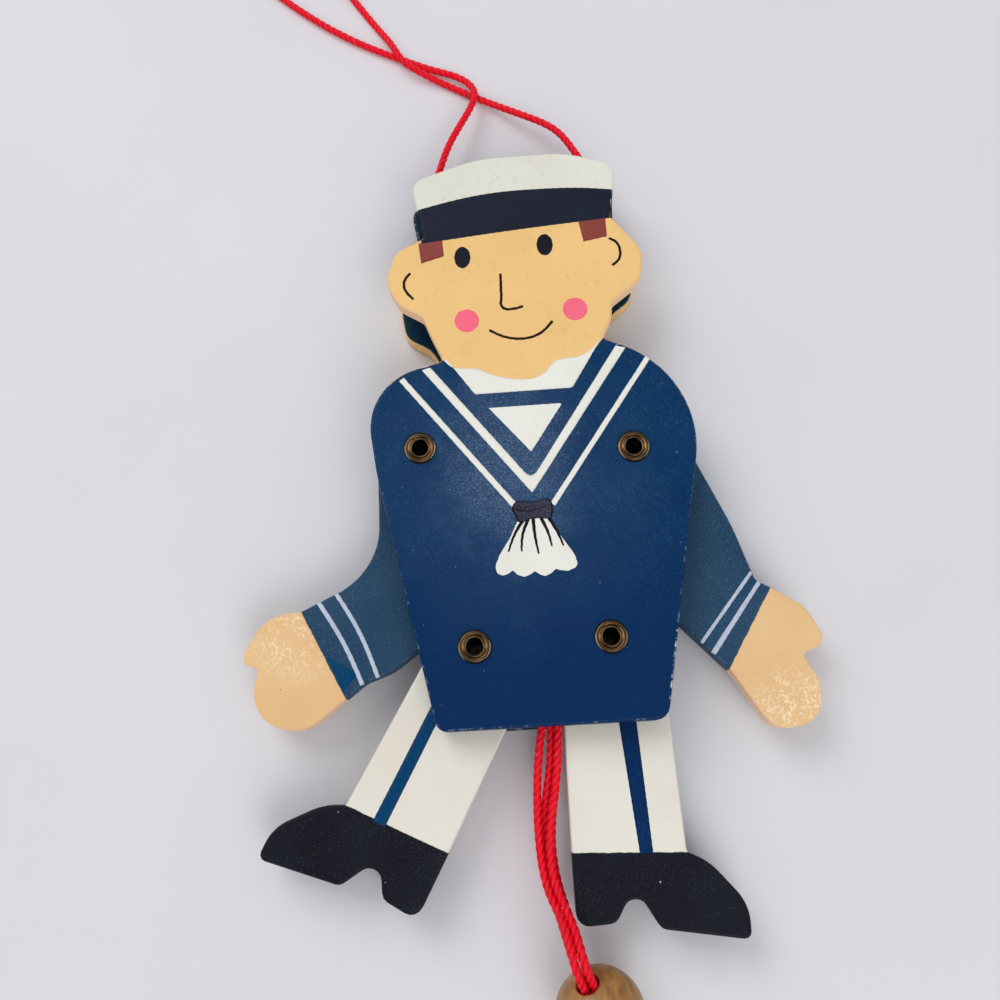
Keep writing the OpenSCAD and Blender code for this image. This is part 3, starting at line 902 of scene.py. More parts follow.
@dataclass
class Board:
    """A flat wooden piece with sanded edges, made over its CAD node.

    Args:
        node: The CAD node.
        low: Height of its rear face.
        high: Height of its front face.
        edge: Radius of its sanded edges.
        holes: Across, up and radius of its round holes.
        recess: Radius and depth of the holes' wider rear ends, or nothing.
        steps: Rings to each sanded edge.
        around: Points round each hole.
        nearly: Heights that differ by less are the same.
        gap: Least distance between two points of the outline.
        room: Distance round a hole in which edges belong to it.
    """

    node: str
    low: float
    high: float
    edge: float
    holes: tuple[Point, ...]
    recess: Point = ()
    steps: int = 5
    around: int = 48
    nearly: float = 0.01
    gap: float = 0.05
    room: float = 0.3

    def outline(self) -> Array:
        """The node's outline: its walls' lowest edges, put in order, without those of its holes.

        The order doubles at each step: the edge after each of those found, then two after, then four.

        Returns:
            The outline, counter-clockwise, without points that nearly meet the next.
        """
        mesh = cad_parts[self.node].data
        spots = np.zeros(len(mesh.vertices) * 3, np.float32)
        mesh.vertices.foreach_get("co", spots)
        corners = np.zeros(len(mesh.loops), np.int32)
        mesh.loops.foreach_get("vertex_index", corners)
        tri = spots.reshape(-1, 3).astype(float)[corners.reshape(-1, 3)] / MM
        at = np.abs(tri[..., 2] - self.low) < self.nearly
        tri, at = tri[~at.all(axis=1)], at[~at.all(axis=1)]
        both = at & np.roll(at, -1, axis=1)
        ends = np.stack([tri[..., :2], np.roll(tri[..., :2], -1, axis=1)], axis=2)[both]
        for x, y, radius in self.holes:
            rim = max((radius, *self.recess[:1])) + self.room
            ends = ends[np.linalg.norm(ends.mean(axis=1) - (x, y), axis=1) > rim]
        places, number = np.unique(np.round(ends.reshape(-1, 2), 3), axis=0, return_inverse=True)
        start, stop = number.reshape(-1, 2).T
        step = np.zeros(len(places), int)
        step[start] = stop
        order = np.array([0])
        while len(order) < len(places):
            order = np.concatenate([order, step[order]])
            step = step[step]
        line = places[order[: len(places)]]
        return line[np.linalg.norm(np.roll(line, -1, axis=0) - line, axis=1) > self.gap]

    def ground(self) -> "Ground":
        """The front face, for films of paint."""
        line = self.outline()
        return Ground(line, np.roll(line, -1, axis=0), self.high, self.edge)

    def inward(self, line: Array) -> Array:
        """How far the sanding draws each point in: by its radius, or less at tight corners, where
        it is 0.8 of the outline's own radius there plus half the distance from the corner.

        Args:
            line: The outline.

        Returns:
            The steps, across and up.
        """
        after = np.roll(line, -1, axis=0) - line
        way = np.roll(line, -1, axis=0) - np.roll(line, 1, axis=0)
        length = np.linalg.norm(after, axis=1)
        heading = np.arctan2(after[:, 1], after[:, 0])
        turning = np.mod(heading - np.roll(heading, 1) + np.pi, 2 * np.pi) - np.pi
        own = 0.8 * (length + np.roll(length, 1)) / 2 / np.maximum(turning, 0.001)
        apart = np.linalg.norm(line[:, None] - line[None], axis=2)
        room = np.minimum(self.edge, (own[None] + 0.5 * apart).min(axis=1))
        return unit(np.stack([-way[:, 1], way[:, 0]], axis=1)) * room[:, None]

    def build(self, material: Material, body: str, slot: str) -> None:
        """Makes the board: its outline, drawn in along a quarter circle at both faces, carried
        from the rear face to the front one.

        Args:
            material: Its material.
            body: The body that it rides on.
            slot: Passed on to the piece, which does not use it.
        """
        line = self.outline()
        turn = np.linspace(0.0, np.pi / 2, self.steps)
        draw, rise = 1 - np.sin(turn), self.edge * (1 - np.cos(turn))
        draws = np.concatenate([draw, draw[::-1]])
        heights = np.concatenate([self.low + rise, self.high - rise[::-1]])
        flat = line[None] + draws[:, None, None] * self.inward(line)[None]
        level = np.broadcast_to(heights[:, None, None], (*flat.shape[:2], 1))
        shell = Shell()
        wall = shell.loft(np.concatenate([flat, level], axis=2), capped=False)
        bottoms, tops = [], []
        for x, y, radius in self.holes:
            sides = [(radius, self.high), (radius, self.low)]
            if self.recess:
                wide, depth = self.recess
                sides[1:] = [(radius, self.low + depth), (wide, self.low + depth), (wide, self.low)]
            rings = turned(np.array(sides), self.around, (x, y, 0.0))
            own = shell.loft(rings, capped=False, smooth=False)
            tops.append((rings[0], own[0]))
            bottoms.append((rings[-1], own[-1]))
        shell.cap((flat[-1], wall[-1]), tops, True)
        shell.cap((flat[0], wall[0]), bottoms, False)
        piece = shell.piece(f"{self.node}_board", material, body, slot, self.node)
        even = piece.modifiers.new("even", "WEIGHTED_NORMAL")
        even.weight, even.keep_sharp = 100, True


@dataclass
class Ground:
    """The face that films of paint lie on: flat, and falling away round its sanded edge.

    Args:
        starts: The outline's corners.
        stops: The corner after each.
        level: Height of the face.
        radius: Radius of the sanded edge.
    """

    starts: Array
    stops: Array
    level: float
    radius: float

    def nearest(self, spots: Array) -> tuple[Array, Array]:
        """The nearest places on the outline, and how far they are.

        Args:
            spots: Places, one a row.

        Returns:
            The nearest places and the distances.
        """
        way = self.stops - self.starts
        square = np.maximum((way**2).sum(axis=1), 1e-9)
        share = np.clip(((spots[:, None] - self.starts) * way).sum(axis=2) / square, 0.0, 1.0)
        near = self.starts + share[..., None] * way
        gap = np.linalg.norm(spots[:, None] - near, axis=2)
        return near[np.arange(len(spots)), gap.argmin(axis=1)], gap.min(axis=1)

    def holds(self, spots: Array) -> Array:
        """Tells which places the outline encloses."""
        return encloses(self.starts, spots)

    def settled(self, spots: Array) -> Array:
        """Places kept on the face: one beyond the outline goes to the nearest place on it."""
        flat = spots.reshape(-1, 2)
        return np.where(self.holds(flat)[:, None], flat, self.nearest(flat)[0]).reshape(spots.shape)

    def lifted(self, spots: Array, lift: Array | float) -> Array:
        """Places raised over the face, which falls along a quarter circle within its radius of the outline.

        Args:
            spots: Places, across and up.
            lift: Their height over the face.

        Returns:
            The places with their heights.
        """
        gap = self.nearest(spots.reshape(-1, 2))[1]
        inside = np.clip(self.radius - gap, 0.0, self.radius)
        fall = self.radius - np.sqrt(self.radius**2 - inside**2)
        high = (self.level - fall).reshape(spots.shape[:-1]) + lift
        return np.concatenate([spots, high[..., None]], axis=-1)


@dataclass
class Film:
    """Thin films of paint on one face, closed shells that stand a little proud of it.

    Args:
        ground: The face.
        lift: Thickness that shows, in millimetres.
        uneven: How far the edges wander, in millimetres.
        sunk: Depth of the hidden side under the face.
        thin: Share of the thickness at the edges.
        blunt: Least share of the width at a stroke's round ends.
        fine: Points along a stroke's path.
        stops: Places along a stroke.
        shell: The films so far.
    """

    ground: Ground
    lift: float = 0.05
    uneven: float = 0.028
    sunk: float = 0.12
    thin: float = 0.6
    blunt: float = 0.12
    fine: int = 400
    stops: int = 90
    shell: Shell = field(default_factory=Shell)

    def ragged(self, line: Array) -> Array:
        """A line made uneven, as brushed paint: each place moved by sines of its two lengths."""
        x, y = line[..., 0], line[..., 1]
        return line + self.uneven * np.stack([np.sin(4.1 * y + 1.3 * x), np.sin(3.7 * x - 1.9 * y)], axis=-1)

    def strip(self, left: Array, right: Array, across: int = 6) -> None:
        """A film ruled between two lines: share v of the way from the left line to the right one.

        Args:
            left: The line on the left of the way, across and up.
            right: The line on its right, with as many points.
            across: Steps from one to the other.
        """
        left, right = self.ragged(left), self.ragged(right)
        v = np.linspace(0.0, 1.0, across + 1)[None, :, None]
        top = self.ground.settled(left[:, None] * (1 - v) + right[:, None] * v)
        soft = np.minimum(1.0, self.thin + 4.0 * np.minimum(v, 1 - v))[..., 0]
        over = self.ground.lifted(top, self.lift * soft)
        under = self.ground.lifted(top[:, [-1, 0]], -self.sunk)
        self.shell.loft(np.concatenate([over, under], axis=1))

    def stroke(self, path: Array, first: float, last: float, rounded: bool = True, across: int = 4) -> None:
        """A film along a line: its edges lie half a width to either side, and may close in a half
        circle at both ends. The steps are finest at the ends, by the cosine of the share passed.

        Args:
            path: The middle of the stroke.
            first: Its width at the start.
            last: Its width at the end.
            rounded: Closes the ends in half circles. If not, the line ends where it leaves the face.
            across: Steps across it.
        """
        fine = resampled(path, self.fine)
        if not rounded:
            fine = resampled(fine[self.ground.holds(fine)], self.fine)
        share = (1 - np.cos(np.linspace(0.0, np.pi, self.stops))) / 2
        even = np.linspace(0.0, 1.0, self.fine)
        x, y = (np.interp(share, even, own) for own in fine.T)
        dx, dy = (np.interp(share, even, own) for own in np.gradient(fine, axis=0).T)
        half = (first + (last - first) * share) / 2
        near = np.clip(np.minimum(share, 1 - share) * travelled(fine)[-1] / half, 0.0, 1.0)
        if rounded:
            half = half * np.maximum(np.sqrt(near * (2 - near)), self.blunt)
        line, side = np.stack([x, y], axis=1), unit(np.stack([-dy, dx], axis=1)) * half[:, None]
        self.strip(line + side, line - side, across)

    def island(self, outline: Array, heart: Point, steps: int = 8) -> None:
        """A film inside a closed line: the line drawn in towards a point, ring by ring.

        Args:
            outline: The line, counter-clockwise.
            heart: The point, which sees the whole line.
            steps: Rings.
        """
        shares = np.concatenate([[1.0, 1.0], np.linspace(0.985, 0.02, steps)])
        middle, outline = np.array(heart), self.ragged(outline)
        flat = self.ground.settled(middle + shares[:, None, None] * (outline - middle)[None])
        lifts = np.concatenate([[-self.sunk, self.thin * self.lift], np.full(steps, self.lift)])
        self.shell.loft(self.ground.lifted(flat, lifts[:, None]))


def oval(middle: Point, wide: float, tall: float, lean: float = 0.0, count: int = 48) -> Array:
    """An ellipse, counter-clockwise: cosine and sine of the turn, then leant over.

    Args:
        middle: Its middle.
        wide: Its width.
        tall: Its height.
        lean: Turn of its axes, in degrees.
        count: Points.

    Returns:
        The points.
    """
    turn = np.linspace(0.0, 2 * np.pi, count, endpoint=False)
    x, y, a = wide / 2 * np.cos(turn), tall / 2 * np.sin(turn), np.radians(lean)
    return np.array(middle) + np.stack([x * np.cos(a) - y * np.sin(a), x * np.sin(a) + y * np.cos(a)], axis=1)


def arc(middle: Point, wide: float, tall: float, start: float, stop: float, count: int) -> Array:
    """Part of an ellipse, from one angle to another, in degrees."""
    turn = np.radians(np.linspace(start, stop, count))
    return np.array(middle) + np.stack([wide * np.cos(turn), tall * np.sin(turn)], axis=1)


def turned(profile: Array, around: int, middle: Point, axes: Array = np.eye(3)) -> Array:
    """A profile turned about an axis: radius times cosine and sine of the turn, and its height.

    Args:
        profile: Radii and heights, up the outside and down the inside.
        around: Points round the axis.
        middle: Where the axis starts.
        axes: Two directions across it, and its own.

    Returns:
        The rings.
    """
    turn = np.arange(around) / around * 2 * np.pi
    ring = np.stack([np.cos(turn), np.sin(turn), np.ones(around)], axis=1)
    return np.array(middle) + (profile[:, None, [0, 0, 1]] * ring) @ axes


@dataclass(frozen=True)
class Rope:
    """A three-ply cord: three round plies that share its section and turn along its length.

    Args:
        diameter: Over the plies.
        steps: Points round it, a multiple of three.
        lay: Length of one whole turn, as a share of the diameter.
        step: Length from ring to ring, in millimetres.
        bends: Rings to a knot.
    """

    diameter: float = 1.8
    steps: int = 36
    lay: float = 3.0
    step: float = 0.2
    bends: int = 160

    def rings(self, centres: Array, way: Array, along: Array) -> Array:
        """The section carried along a line and turned with the length passed: within a third of a
        turn, the section is the far side of a circle set off its middle.

        Args:
            centres: The line.
            way: Its direction at each of its points.
            along: Length passed at each of its points.

        Returns:
            The rings.
        """
        angle = np.arange(self.steps) / self.steps * 2 * np.pi
        off = np.mod(angle + np.pi / 3, 2 * np.pi / 3) - np.pi / 3
        shift, ply = self.diameter / 6, self.diameter / 3
        radius = shift * np.cos(off) + np.sqrt(ply**2 - (shift * np.sin(off)) ** 2)
        way = unit(way)
        up = unit(np.array([0.0, 0.0, 1.0]) - way * way[:, 2:3])
        side = np.cross(way, up)
        turn = (angle + (along / (self.lay * self.diameter) * 2 * np.pi)[:, None])[..., None]
        return centres[:, None] + radius[:, None] * (np.cos(turn) * up[:, None] + np.sin(turn) * side[:, None])

    def laid(self, points: Sequence[Point]) -> tuple[Shell, Array]:
        """The cord through points.

        Args:
            points: Places that it passes.

        Returns:
            The cord, and its centreline at even steps.
        """
        line = spline(points)
        length = float(travelled(line)[-1])
        centres = resampled(line, max(12, int(length / self.step)))
        along = np.linspace(0.0, length, len(centres))
        shell = Shell()
        shell.loft(self.rings(centres, np.gradient(centres, axis=0), along), along)
        return shell, centres

    def knotted(self, middle: Point, wide: float, tall: float, axes: Array = np.eye(3)) -> Shell:
        """An overhand knot: sine of the turn plus twice that of two turns, and so on.

        Args:
            middle: Its middle.
            wide: Its width over the cord.
            tall: Its height over the cord.
            axes: Its own three axes.

        Returns:
            The knot.
        """
        t = np.linspace(0.0, 2 * np.pi, self.bends, endpoint=False)
        flat = np.stack([np.sin(t) + 2 * np.sin(2 * t), np.cos(t) - 2 * np.cos(2 * t)], axis=1)
        flat = flat * (wide - self.diameter) / 2 / np.abs(flat).max()
        high = -np.sin(3 * t) * (tall - self.diameter) / 2
        line = np.array(middle) + np.column_stack([flat, high]) @ axes
        passed = travelled(np.concatenate([line, line[:1]]))
        turn = self.lay * self.diameter
        along = passed[:-1] / passed[-1] * max(1, round(passed[-1] / turn)) * turn
        way = np.roll(line, -1, axis=0) - np.roll(line, 1, axis=0)
        shell = Shell()
        shell.loft(self.rings(line, way, along), along, looped=True)
        return shell


# ---- The toy ----


@dataclass
class Plates:
    """The two plates, and the block between the heads.

    Args:
        bore: Radius of the eyelets' holes.
        recess: Radius and depth of the rear rims' recesses.
    """

    bore: float = 2.38
    recess: Point = (3.33, 0.8)

    def dress(self, paints: Paints) -> Ground:
        """Makes and paints the plates, and gives the block its wood.

        Args:
            paints: The painted materials.

        Returns:
            The front plate's face, for more paint.
        """
        holes = tuple((*pivot, self.bore) for pivot in PIVOTS.values())
        front = Board("front_plate", LEVELS.front_bottom, LEVELS.face, LEVELS.plate_edge, holes)
        rear = Board("back_plate", 0.0, LEVELS.rear_top, LEVELS.plate_edge, holes, self.recess)
        front.build(paints.front(), "figure", "painted_plate")
        rear.build(paints.rear(), "figure", "painted_plate")
        block = Wood("block_wood", (200, 166, 116), (178, 138, 88), 0.6, 0.0, (0.15, 1.0, 1.0))
        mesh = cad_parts["head_spacer"].data
        mesh.materials.clear()
        mesh.materials.append(block.material())
        log.info("head_spacer: %s", block.name)
        return front.ground()


@dataclass
class FacePrint:
    """The printed face, hair and cap band.

    Args:
        ground: The front plate's face. The lines drawn on it follow.
    """

    ground: Ground
    band_top: Line = (
        (-21.2, 80.7), (-10.7, 82.9), (-2.2, 83.9), (8.3, 84.0), (16.5, 83.6), (24.7, 82.5),
    )
    band_bottom: Line = ((-20.2, 72.1), (2.0, 73.9), (24.4, 75.2))
    nose: Line = (
        (-2.7, 63.1), (-2.75, 61.0), (-2.85, 58.8), (-2.95, 56.8), (-3.1, 55.4), (-2.4, 54.35), (-1.1, 54.1),
        (0.4, 54.25), (1.9, 54.6),
    )
    mouth: Line = ((-6.2, 49.4), (-3.6, 47.8), (-0.8, 46.9), (2.4, 46.8), (5.3, 47.8), (8.2, 50.5))
    left_ear: Line = ((-23.2, 64.9), (-24.7, 62.9), (-24.7, 61.0), (-23.7, 59.3), (-22.8, 58.3))
    right_ear: Line = ((22.8, 70.0), (24.4, 68.9), (25.1, 66.8), (24.6, 64.5), (22.9, 63.1))
    left_hair: Line = ((-21.1, 73.0), (-15.5, 73.2), (-15.3, 68.5), (-20.6, 67.1))
    right_hair: Line = ((16.2, 75.6), (22.5, 75.8), (22.5, 70.5), (17.0, 69.6))
    eyes: Line = ((-11.1, 67.85), (8.0, 69.55))
    cheeks: Line = ((-11.1, 52.05), (13.5, 52.95))

    def build(self, paints: Paints) -> None:
        """Makes the films.

        Args:
            paints: The painted materials.
        """
        band = Film(self.ground, 0.1)
        band.strip(resampled(spline(self.band_top), 90), resampled(spline(self.band_bottom), 90), 16)
        paints.lay(band, "cap_band", "band_paint", BAND)
        hair = Film(self.ground)
        for a, b, c, d in (self.left_hair, self.right_hair):
            hair.strip(resampled(np.array([a, b]), 24), resampled(np.array([d, c]), 24))
        paints.lay(hair, "hair_paint", "hair_paint", HAIR)
        lines = Film(self.ground)
        for points in (self.nose, self.mouth, self.left_ear, self.right_ear):
            lines.stroke(spline(points), 0.6, 0.6)
        paints.lay(lines, "face_lines", "ink", INK)
        eyes = Film(self.ground)
        for middle in self.eyes:
            eyes.island(oval(middle, 3.7, 5.4, -3.0), middle)
        paints.lay(eyes, "eyes", "eye_paint", BLACK)
        cheeks = Film(self.ground)
        for middle in self.cheeks:
            cheeks.island(oval(middle, 5.5, 5.5), middle)
        paints.lay(cheeks, "cheeks", "cheek_paint", CHEEK)


@dataclass
class UniformPrint:
    """The painted collar, its stripes, the tied scarf and its tassel.

    Args:
        ground: The front plate's face. The lines drawn on it follow.
    """

    ground: Ground
    chin: Line = (
        (-16.9, 43.1), (-15.2, 41.2), (-12.3, 40.6), (-9.3, 40.2), (-7.4, 39.2), (-3.5, 37.7), (0.4, 37.0),
        (3.2, 37.2), (5.7, 38.5), (7.9, 40.8), (12.7, 41.4), (16.9, 43.6), (18.8, 45.8),
    )
    neck: Line = ((-16.2, 43.0), (-10.4, 34.3), (11.2, 34.2), (18.6, 45.4))
    bib: Line = ((-7.6, 30.85), (0.9, 20.15), (8.6, 30.75))
    bib_heart: Point = (0.6, 27.3)
    vee_outer: Line = ((-22.3, 41.5), (0.4, 10.85), (24.4, 43.5))
    vee_inner: Line = ((-20.3, 41.9), (-0.6, 15.2), (0.6, 14.6), (1.6, 15.3), (22.0, 43.8))
    left_stripe: Line = ((-26.5, 39.1), (-3.6, 8.3))
    right_stripe: Line = ((28.7, 40.2), (4.6, 8.0))
    knot: Line = (
        (-3.3, 9.1), (-4.3, 7.5), (-3.8, 6.2), (-3.3, 4.8), (0.6, 5.2), (3.9, 5.0), (4.5, 7.2), (4.0, 9.2),
        (0.5, 8.9),
    )
    heart: Point = (0.2, 7.2)
    crease: Line = ((-3.9, 7.6), (-1.6, 6.9), (0.8, 7.1), (3.2, 7.8))
    tassel: Line = (
        (3.4, 5.2), (-3.2, 5.0), (-5.2, 1.2), (-7.6, -2.2), (-8.7, -4.6), (-8.4, -6.2), (-7.3, -6.7),
        (-6.0, -6.4), (-5.1, -5.7), (-4.2, -6.7), (-2.8, -7.3), (-1.4, -6.9), (-0.4, -6.2), (0.5, -7.0),
        (1.7, -7.5), (3.0, -6.9), (4.0, -6.1), (5.2, -6.5), (6.6, -6.7), (8.2, -6.1), (8.7, -5.2), (8.2, -3.2),
        (5.9, 0.6),
    )
    tassel_heart: Point = (0.0, -1.0)
    folds: tuple[Line, ...] = (
        ((-1.9, 5.2), (-4.2, 1.8), (-5.7, -1.75)),
        ((-0.9, 5.2), (-2.4, 1.8), (-2.9, -1.85)),
        ((0.1, 5.2), (0.2, 1.4), (0.7, -2.65)),
        ((1.7, 5.3), (3.0, 2.0), (3.6, -1.2)),
        ((3.4, 5.2), (5.0, 1.9), (6.1, -1.3)),
    )

    def build(self, paints: Paints) -> None:
        """Makes the films.

        Args:
            paints: The painted materials.
        """
        white = Film(self.ground)
        white.strip(resampled(spline(self.chin), 80), resampled(np.array(self.neck), 80), 10)
        white.island(closed(self.bib, 60), self.bib_heart)
        white.strip(resampled(np.array(self.vee_inner), 90), resampled(np.array(self.vee_outer), 90), 4)
        for points, width in ((self.left_stripe, 1.3), (self.right_stripe, 1.15)):
            white.stroke(np.array(points), width, width, rounded=False)
        paints.lay(white, "collar_paint", "white_paint", WHITE)
        tassel = Film(self.ground)
        tassel.island(closed(self.tassel, 120), self.tassel_heart)
        paints.lay(tassel, "tassel_paint", "white_paint", WHITE)
        line = spline(self.knot, 10, looped=True)[:-1]
        tie = Film(self.ground, 0.1)
        tie.island(np.array(self.heart) + 0.92 * (line - self.heart), self.heart)
        paints.lay(tie, "tie_paint", "tie_paint", TIE)
        shade = Film(self.ground, 0.08)
        shade.island(line, self.heart)
        for fold in self.folds:
            shade.stroke(spline(fold), 0.85, 0.4)
        paints.lay(shade, "tie_outline", "tie_shade", SHADE)
        crease = Film(self.ground, 0.13)
        crease.stroke(spline(self.crease), 0.35, 0.3)
        paints.lay(crease, "tie_crease", "tie_shade", SHADE)


@dataclass(frozen=True)
class Limb:
    """An arm or a leg: its board, its two coats of paint and its painted stripes.

    Args:
        side: The side of the picture that it is on.
        kind: The limb, arm or leg.
        hinge: The eyelet that it turns on.
        start: One end of the line where its coats meet.
        end: Its other end, with the far coat to the right of the way there.
        shine: Middle and strength of the painted glints of light on its far coat's glossy ripples.
        marks: Its stripes' material and paint.
        stripes: Places along each stripe, and its widths at both ends.
        smudge: Corners of a smudge of paint, and its middle, or nothing.
        bore: Radius of its bore.
        hole: Radius of its string's hole.
    """

    side: Side
    kind: Kind
    hinge: str
    start: Point
    end: Point
    shine: Point
    marks: tuple[str, Coat]
    stripes: tuple[tuple[Line, float, float], ...]
    smudge: tuple[Line, Point] | None = None
    bore: float = 2.43
    hole: float = 1.0

    def build(self, paints: Paints) -> None:
        """Makes and paints the limb.

        Args:
            paints: The painted materials.
        """
        node = f"{self.side.value}_{self.kind.value}"
        body, slot = f"{node}_swing", f"painted_{self.kind.value}"
        holes = ((*PIVOTS[self.hinge], self.bore), (*KNOTS[node], self.hole))
        board = Board(node, LEVELS.limb_bottom, LEVELS.limb_top, LEVELS.limb_edge, holes)
        near, far, rim, wall = LIMB_COATS[self.kind]
        paint = LimbPaint(f"{node}_paint", near, far, self.start, self.end, rim, wall, self.shine)
        board.build(paint.material(), body, slot)
        film = Film(board.ground(), 0.04)
        for path, first, last in self.stripes:
            film.stroke(spline(path), first, last, rounded=False)
        paints.lay(film, f"{node}_stripes", *self.marks, body, slot)
        if self.smudge:
            film = Film(film.ground, 0.03)
            film.island(closed(self.smudge[0], 60), self.smudge[1])
            paints.lay(film, "cuff_smudge", "smudge_paint", TEAL, body, slot)


# Near coat, far coat, colour of the near coat's lighter edges (part wear, part painted highlight), and colour
# of the far coat's walls (partly their paint, partly painted light that the walls catch).
LIMB_COATS = {
    Kind.ARM: (SLEEVE, HAND, (96, 116, 142), (250, 206, 166)),
    Kind.LEG: (TROUSER, BLACK, (240, 238, 230), (34, 36, 46)),
}
LIMBS = (
    Limb(
        Side.LEFT, Kind.ARM, "left_shoulder", (-51.4, -10.15), (-42.5, -29.15), (-52.0, -15.0, 0.7),
        ("cuff_paint", CUFF),
        (
            (((-47.6, -8.3), (-42.5, -17.4), (-38.6, -27.0)), 0.95, 0.95),
            (((-43.9, -6.4), (-38.9, -15.6), (-35.3, -25.6)), 0.9, 0.9),
        ),
        (((-46.3, -19.9), (-39.6, -24.3), (-42.9, -27.9)), (-43.0, -24.2)),
    ),
    Limb(
        Side.RIGHT, Kind.ARM, "right_shoulder", (39.1, -29.15), (50.0, -12.65), (52.0, -39.5, 0.8),
        ("cuff_paint", CUFF),
        (
            (((46.5, -8.8), (33.3, -23.9)), 0.75, 0.75),
            (((48.6, -10.2), (34.8, -27.2)), 0.85, 1.15),
        ),
    ),
    Limb(
        Side.LEFT, Kind.LEG, "left_hip", (-43.1, -50.85), (-22.1, -61.95), (-40.0, -60.0, 0.0),
        ("teal_seam_paint", TEAL), ((((-19.0, -25.7), (-36.4, -55.0)), 2.6, 2.8),),
    ),
    Limb(
        Side.RIGHT, Kind.LEG, "right_hip", (2.6, -63.45), (26.1, -64.95), (20.0, -70.0, 0.0),
        ("seam_paint", SEAM_BLUE), ((((15.8, -22.0), (17.6, -64.6)), 4.3, 2.7),),
    ),
)


@dataclass
class Eyelet:
    """A tubular brass eyelet: a domed flange with a rolled lip, a barrel, and a clinched rear rim.

    Args:
        name: Its CAD node.
        pivot: Its centre, across and up.
        around: Points round it.
    """

    name: str
    pivot: Point
    around: int = 72

    def profile(self) -> Array:
        """The section: barrel, flange's dome, lip, bore and rim, each an arc or a line.

        Returns:
            Radii and heights.
        """
        face = LEVELS.face
        return np.concatenate(
            [
                [(2.35, 0.85), (2.35, face - 0.02), (3.3, face)],
                arc((2.88, face + 0.06), 0.62, 0.7, -4.0, 158.0, 14),
                arc((2.08, face + 0.34), 0.3, 0.3, 30.0, 200.0, 9),
                [(1.95, face - 0.4), (1.95, 0.4)],
                arc((2.6, 0.4), 0.64, 0.37, 200.0, 350.0, 10),
                arc((2.9, 0.44), 0.38, 0.3, 10.0, 90.0, 5),
            ]
        )

    def build(self, brass: Material) -> None:
        """Makes the eyelet in place of its CAD node.

        Args:
            brass: Its material.
        """
        shell = Shell()
        shell.loft(turned(self.profile(), self.around, (*self.pivot, 0.0)), looped=True)
        shell.piece(f"{self.name}_brass", brass, "figure", "eyelet_brass", self.name)


@dataclass
class Bead:
    """The turned bead that the strings pass through.

    Args:
        middle: The strings' middle in it.
        rest: Its own middle, where it has slid down the strings to their knot.
        axis: The way of its hole, towards the figure.
        across: A level way across the hole.
        diameter: Over the bead.
        hole: Of its hole.
        lip: Radius of the hole's rounded ends.
        apart: Half the distance between the strings' middles in the hole.
    """

    middle: Point = (5.2, -93.17, 9.23)
    rest: Point = (5.35, -93.6, 8.9)
    axis: Point = (-0.2634, 0.7649, 0.5878)
    across: Point = (0.9455, 0.3256, 0.0)
    diameter: float = 17.8
    hole: float = 4.6
    lip: float = 0.4
    apart: float = 0.954

    def axes(self) -> Array:
        """Across the hole, down to the table beside it, and along it."""
        return unit(np.array([self.across, np.cross(self.axis, self.across), self.axis]))

    def inside(self, depth: float, across: float = 0.0, down: float = 0.0) -> Point:
        """A place on a string in the hole.

        Args:
            depth: Along the hole, from the middle.
            across: Steps across, in half distances of the strings.
            down: Steps down, likewise.

        Returns:
            The place.
        """
        own = np.array([self.apart * across, self.apart * down, depth])
        return tuple(np.array(self.middle) + own @ self.axes())

    def profile(self) -> Array:
        """Up the round outside, over one lip, down the hole and under the other lip.

        Returns:
            Radii and heights.
        """
        radius, rim = self.diameter / 2, self.hole / 2 + self.lip
        height = np.sqrt((radius - self.lip) ** 2 - rim**2)
        lean = np.degrees(np.arctan2(height, rim))
        outside = arc((0.0, 0.0), radius, radius, -lean, lean, 48)
        top = arc((rim, height), self.lip, self.lip, lean, 180.0, 9)
        bottom = arc((rim, -height), self.lip, self.lip, 180.0, 360.0 - lean, 9)
        return np.concatenate([outside, top[1:], bottom[:-1]])

    def build(self) -> Thing:
        """Makes the bead in place of its CAD node.

        Returns:
            The bead.
        """
        shell = Shell()
        shell.loft(turned(self.profile(), 96, self.rest, self.axes()), looped=True)
        wood = Wood("bead_wood", (178, 130, 66), (146, 98, 42), 0.4, 0.15, (1.0, 0.16, 0.5))
        return shell.piece("bead_turned", wood.material(), "pull", "bead_wood", "pull_bead")


def declare_cord(centres: Array, rope: Rope) -> None:
    """Works out the cord's length in metres, and keeps nothing of it.

    Args:
        centres: Its centreline, from where it leaves the toy.
        rope: Its make. Not used.
    """
    round(float(travelled(centres)[-1]) * MM, 4)


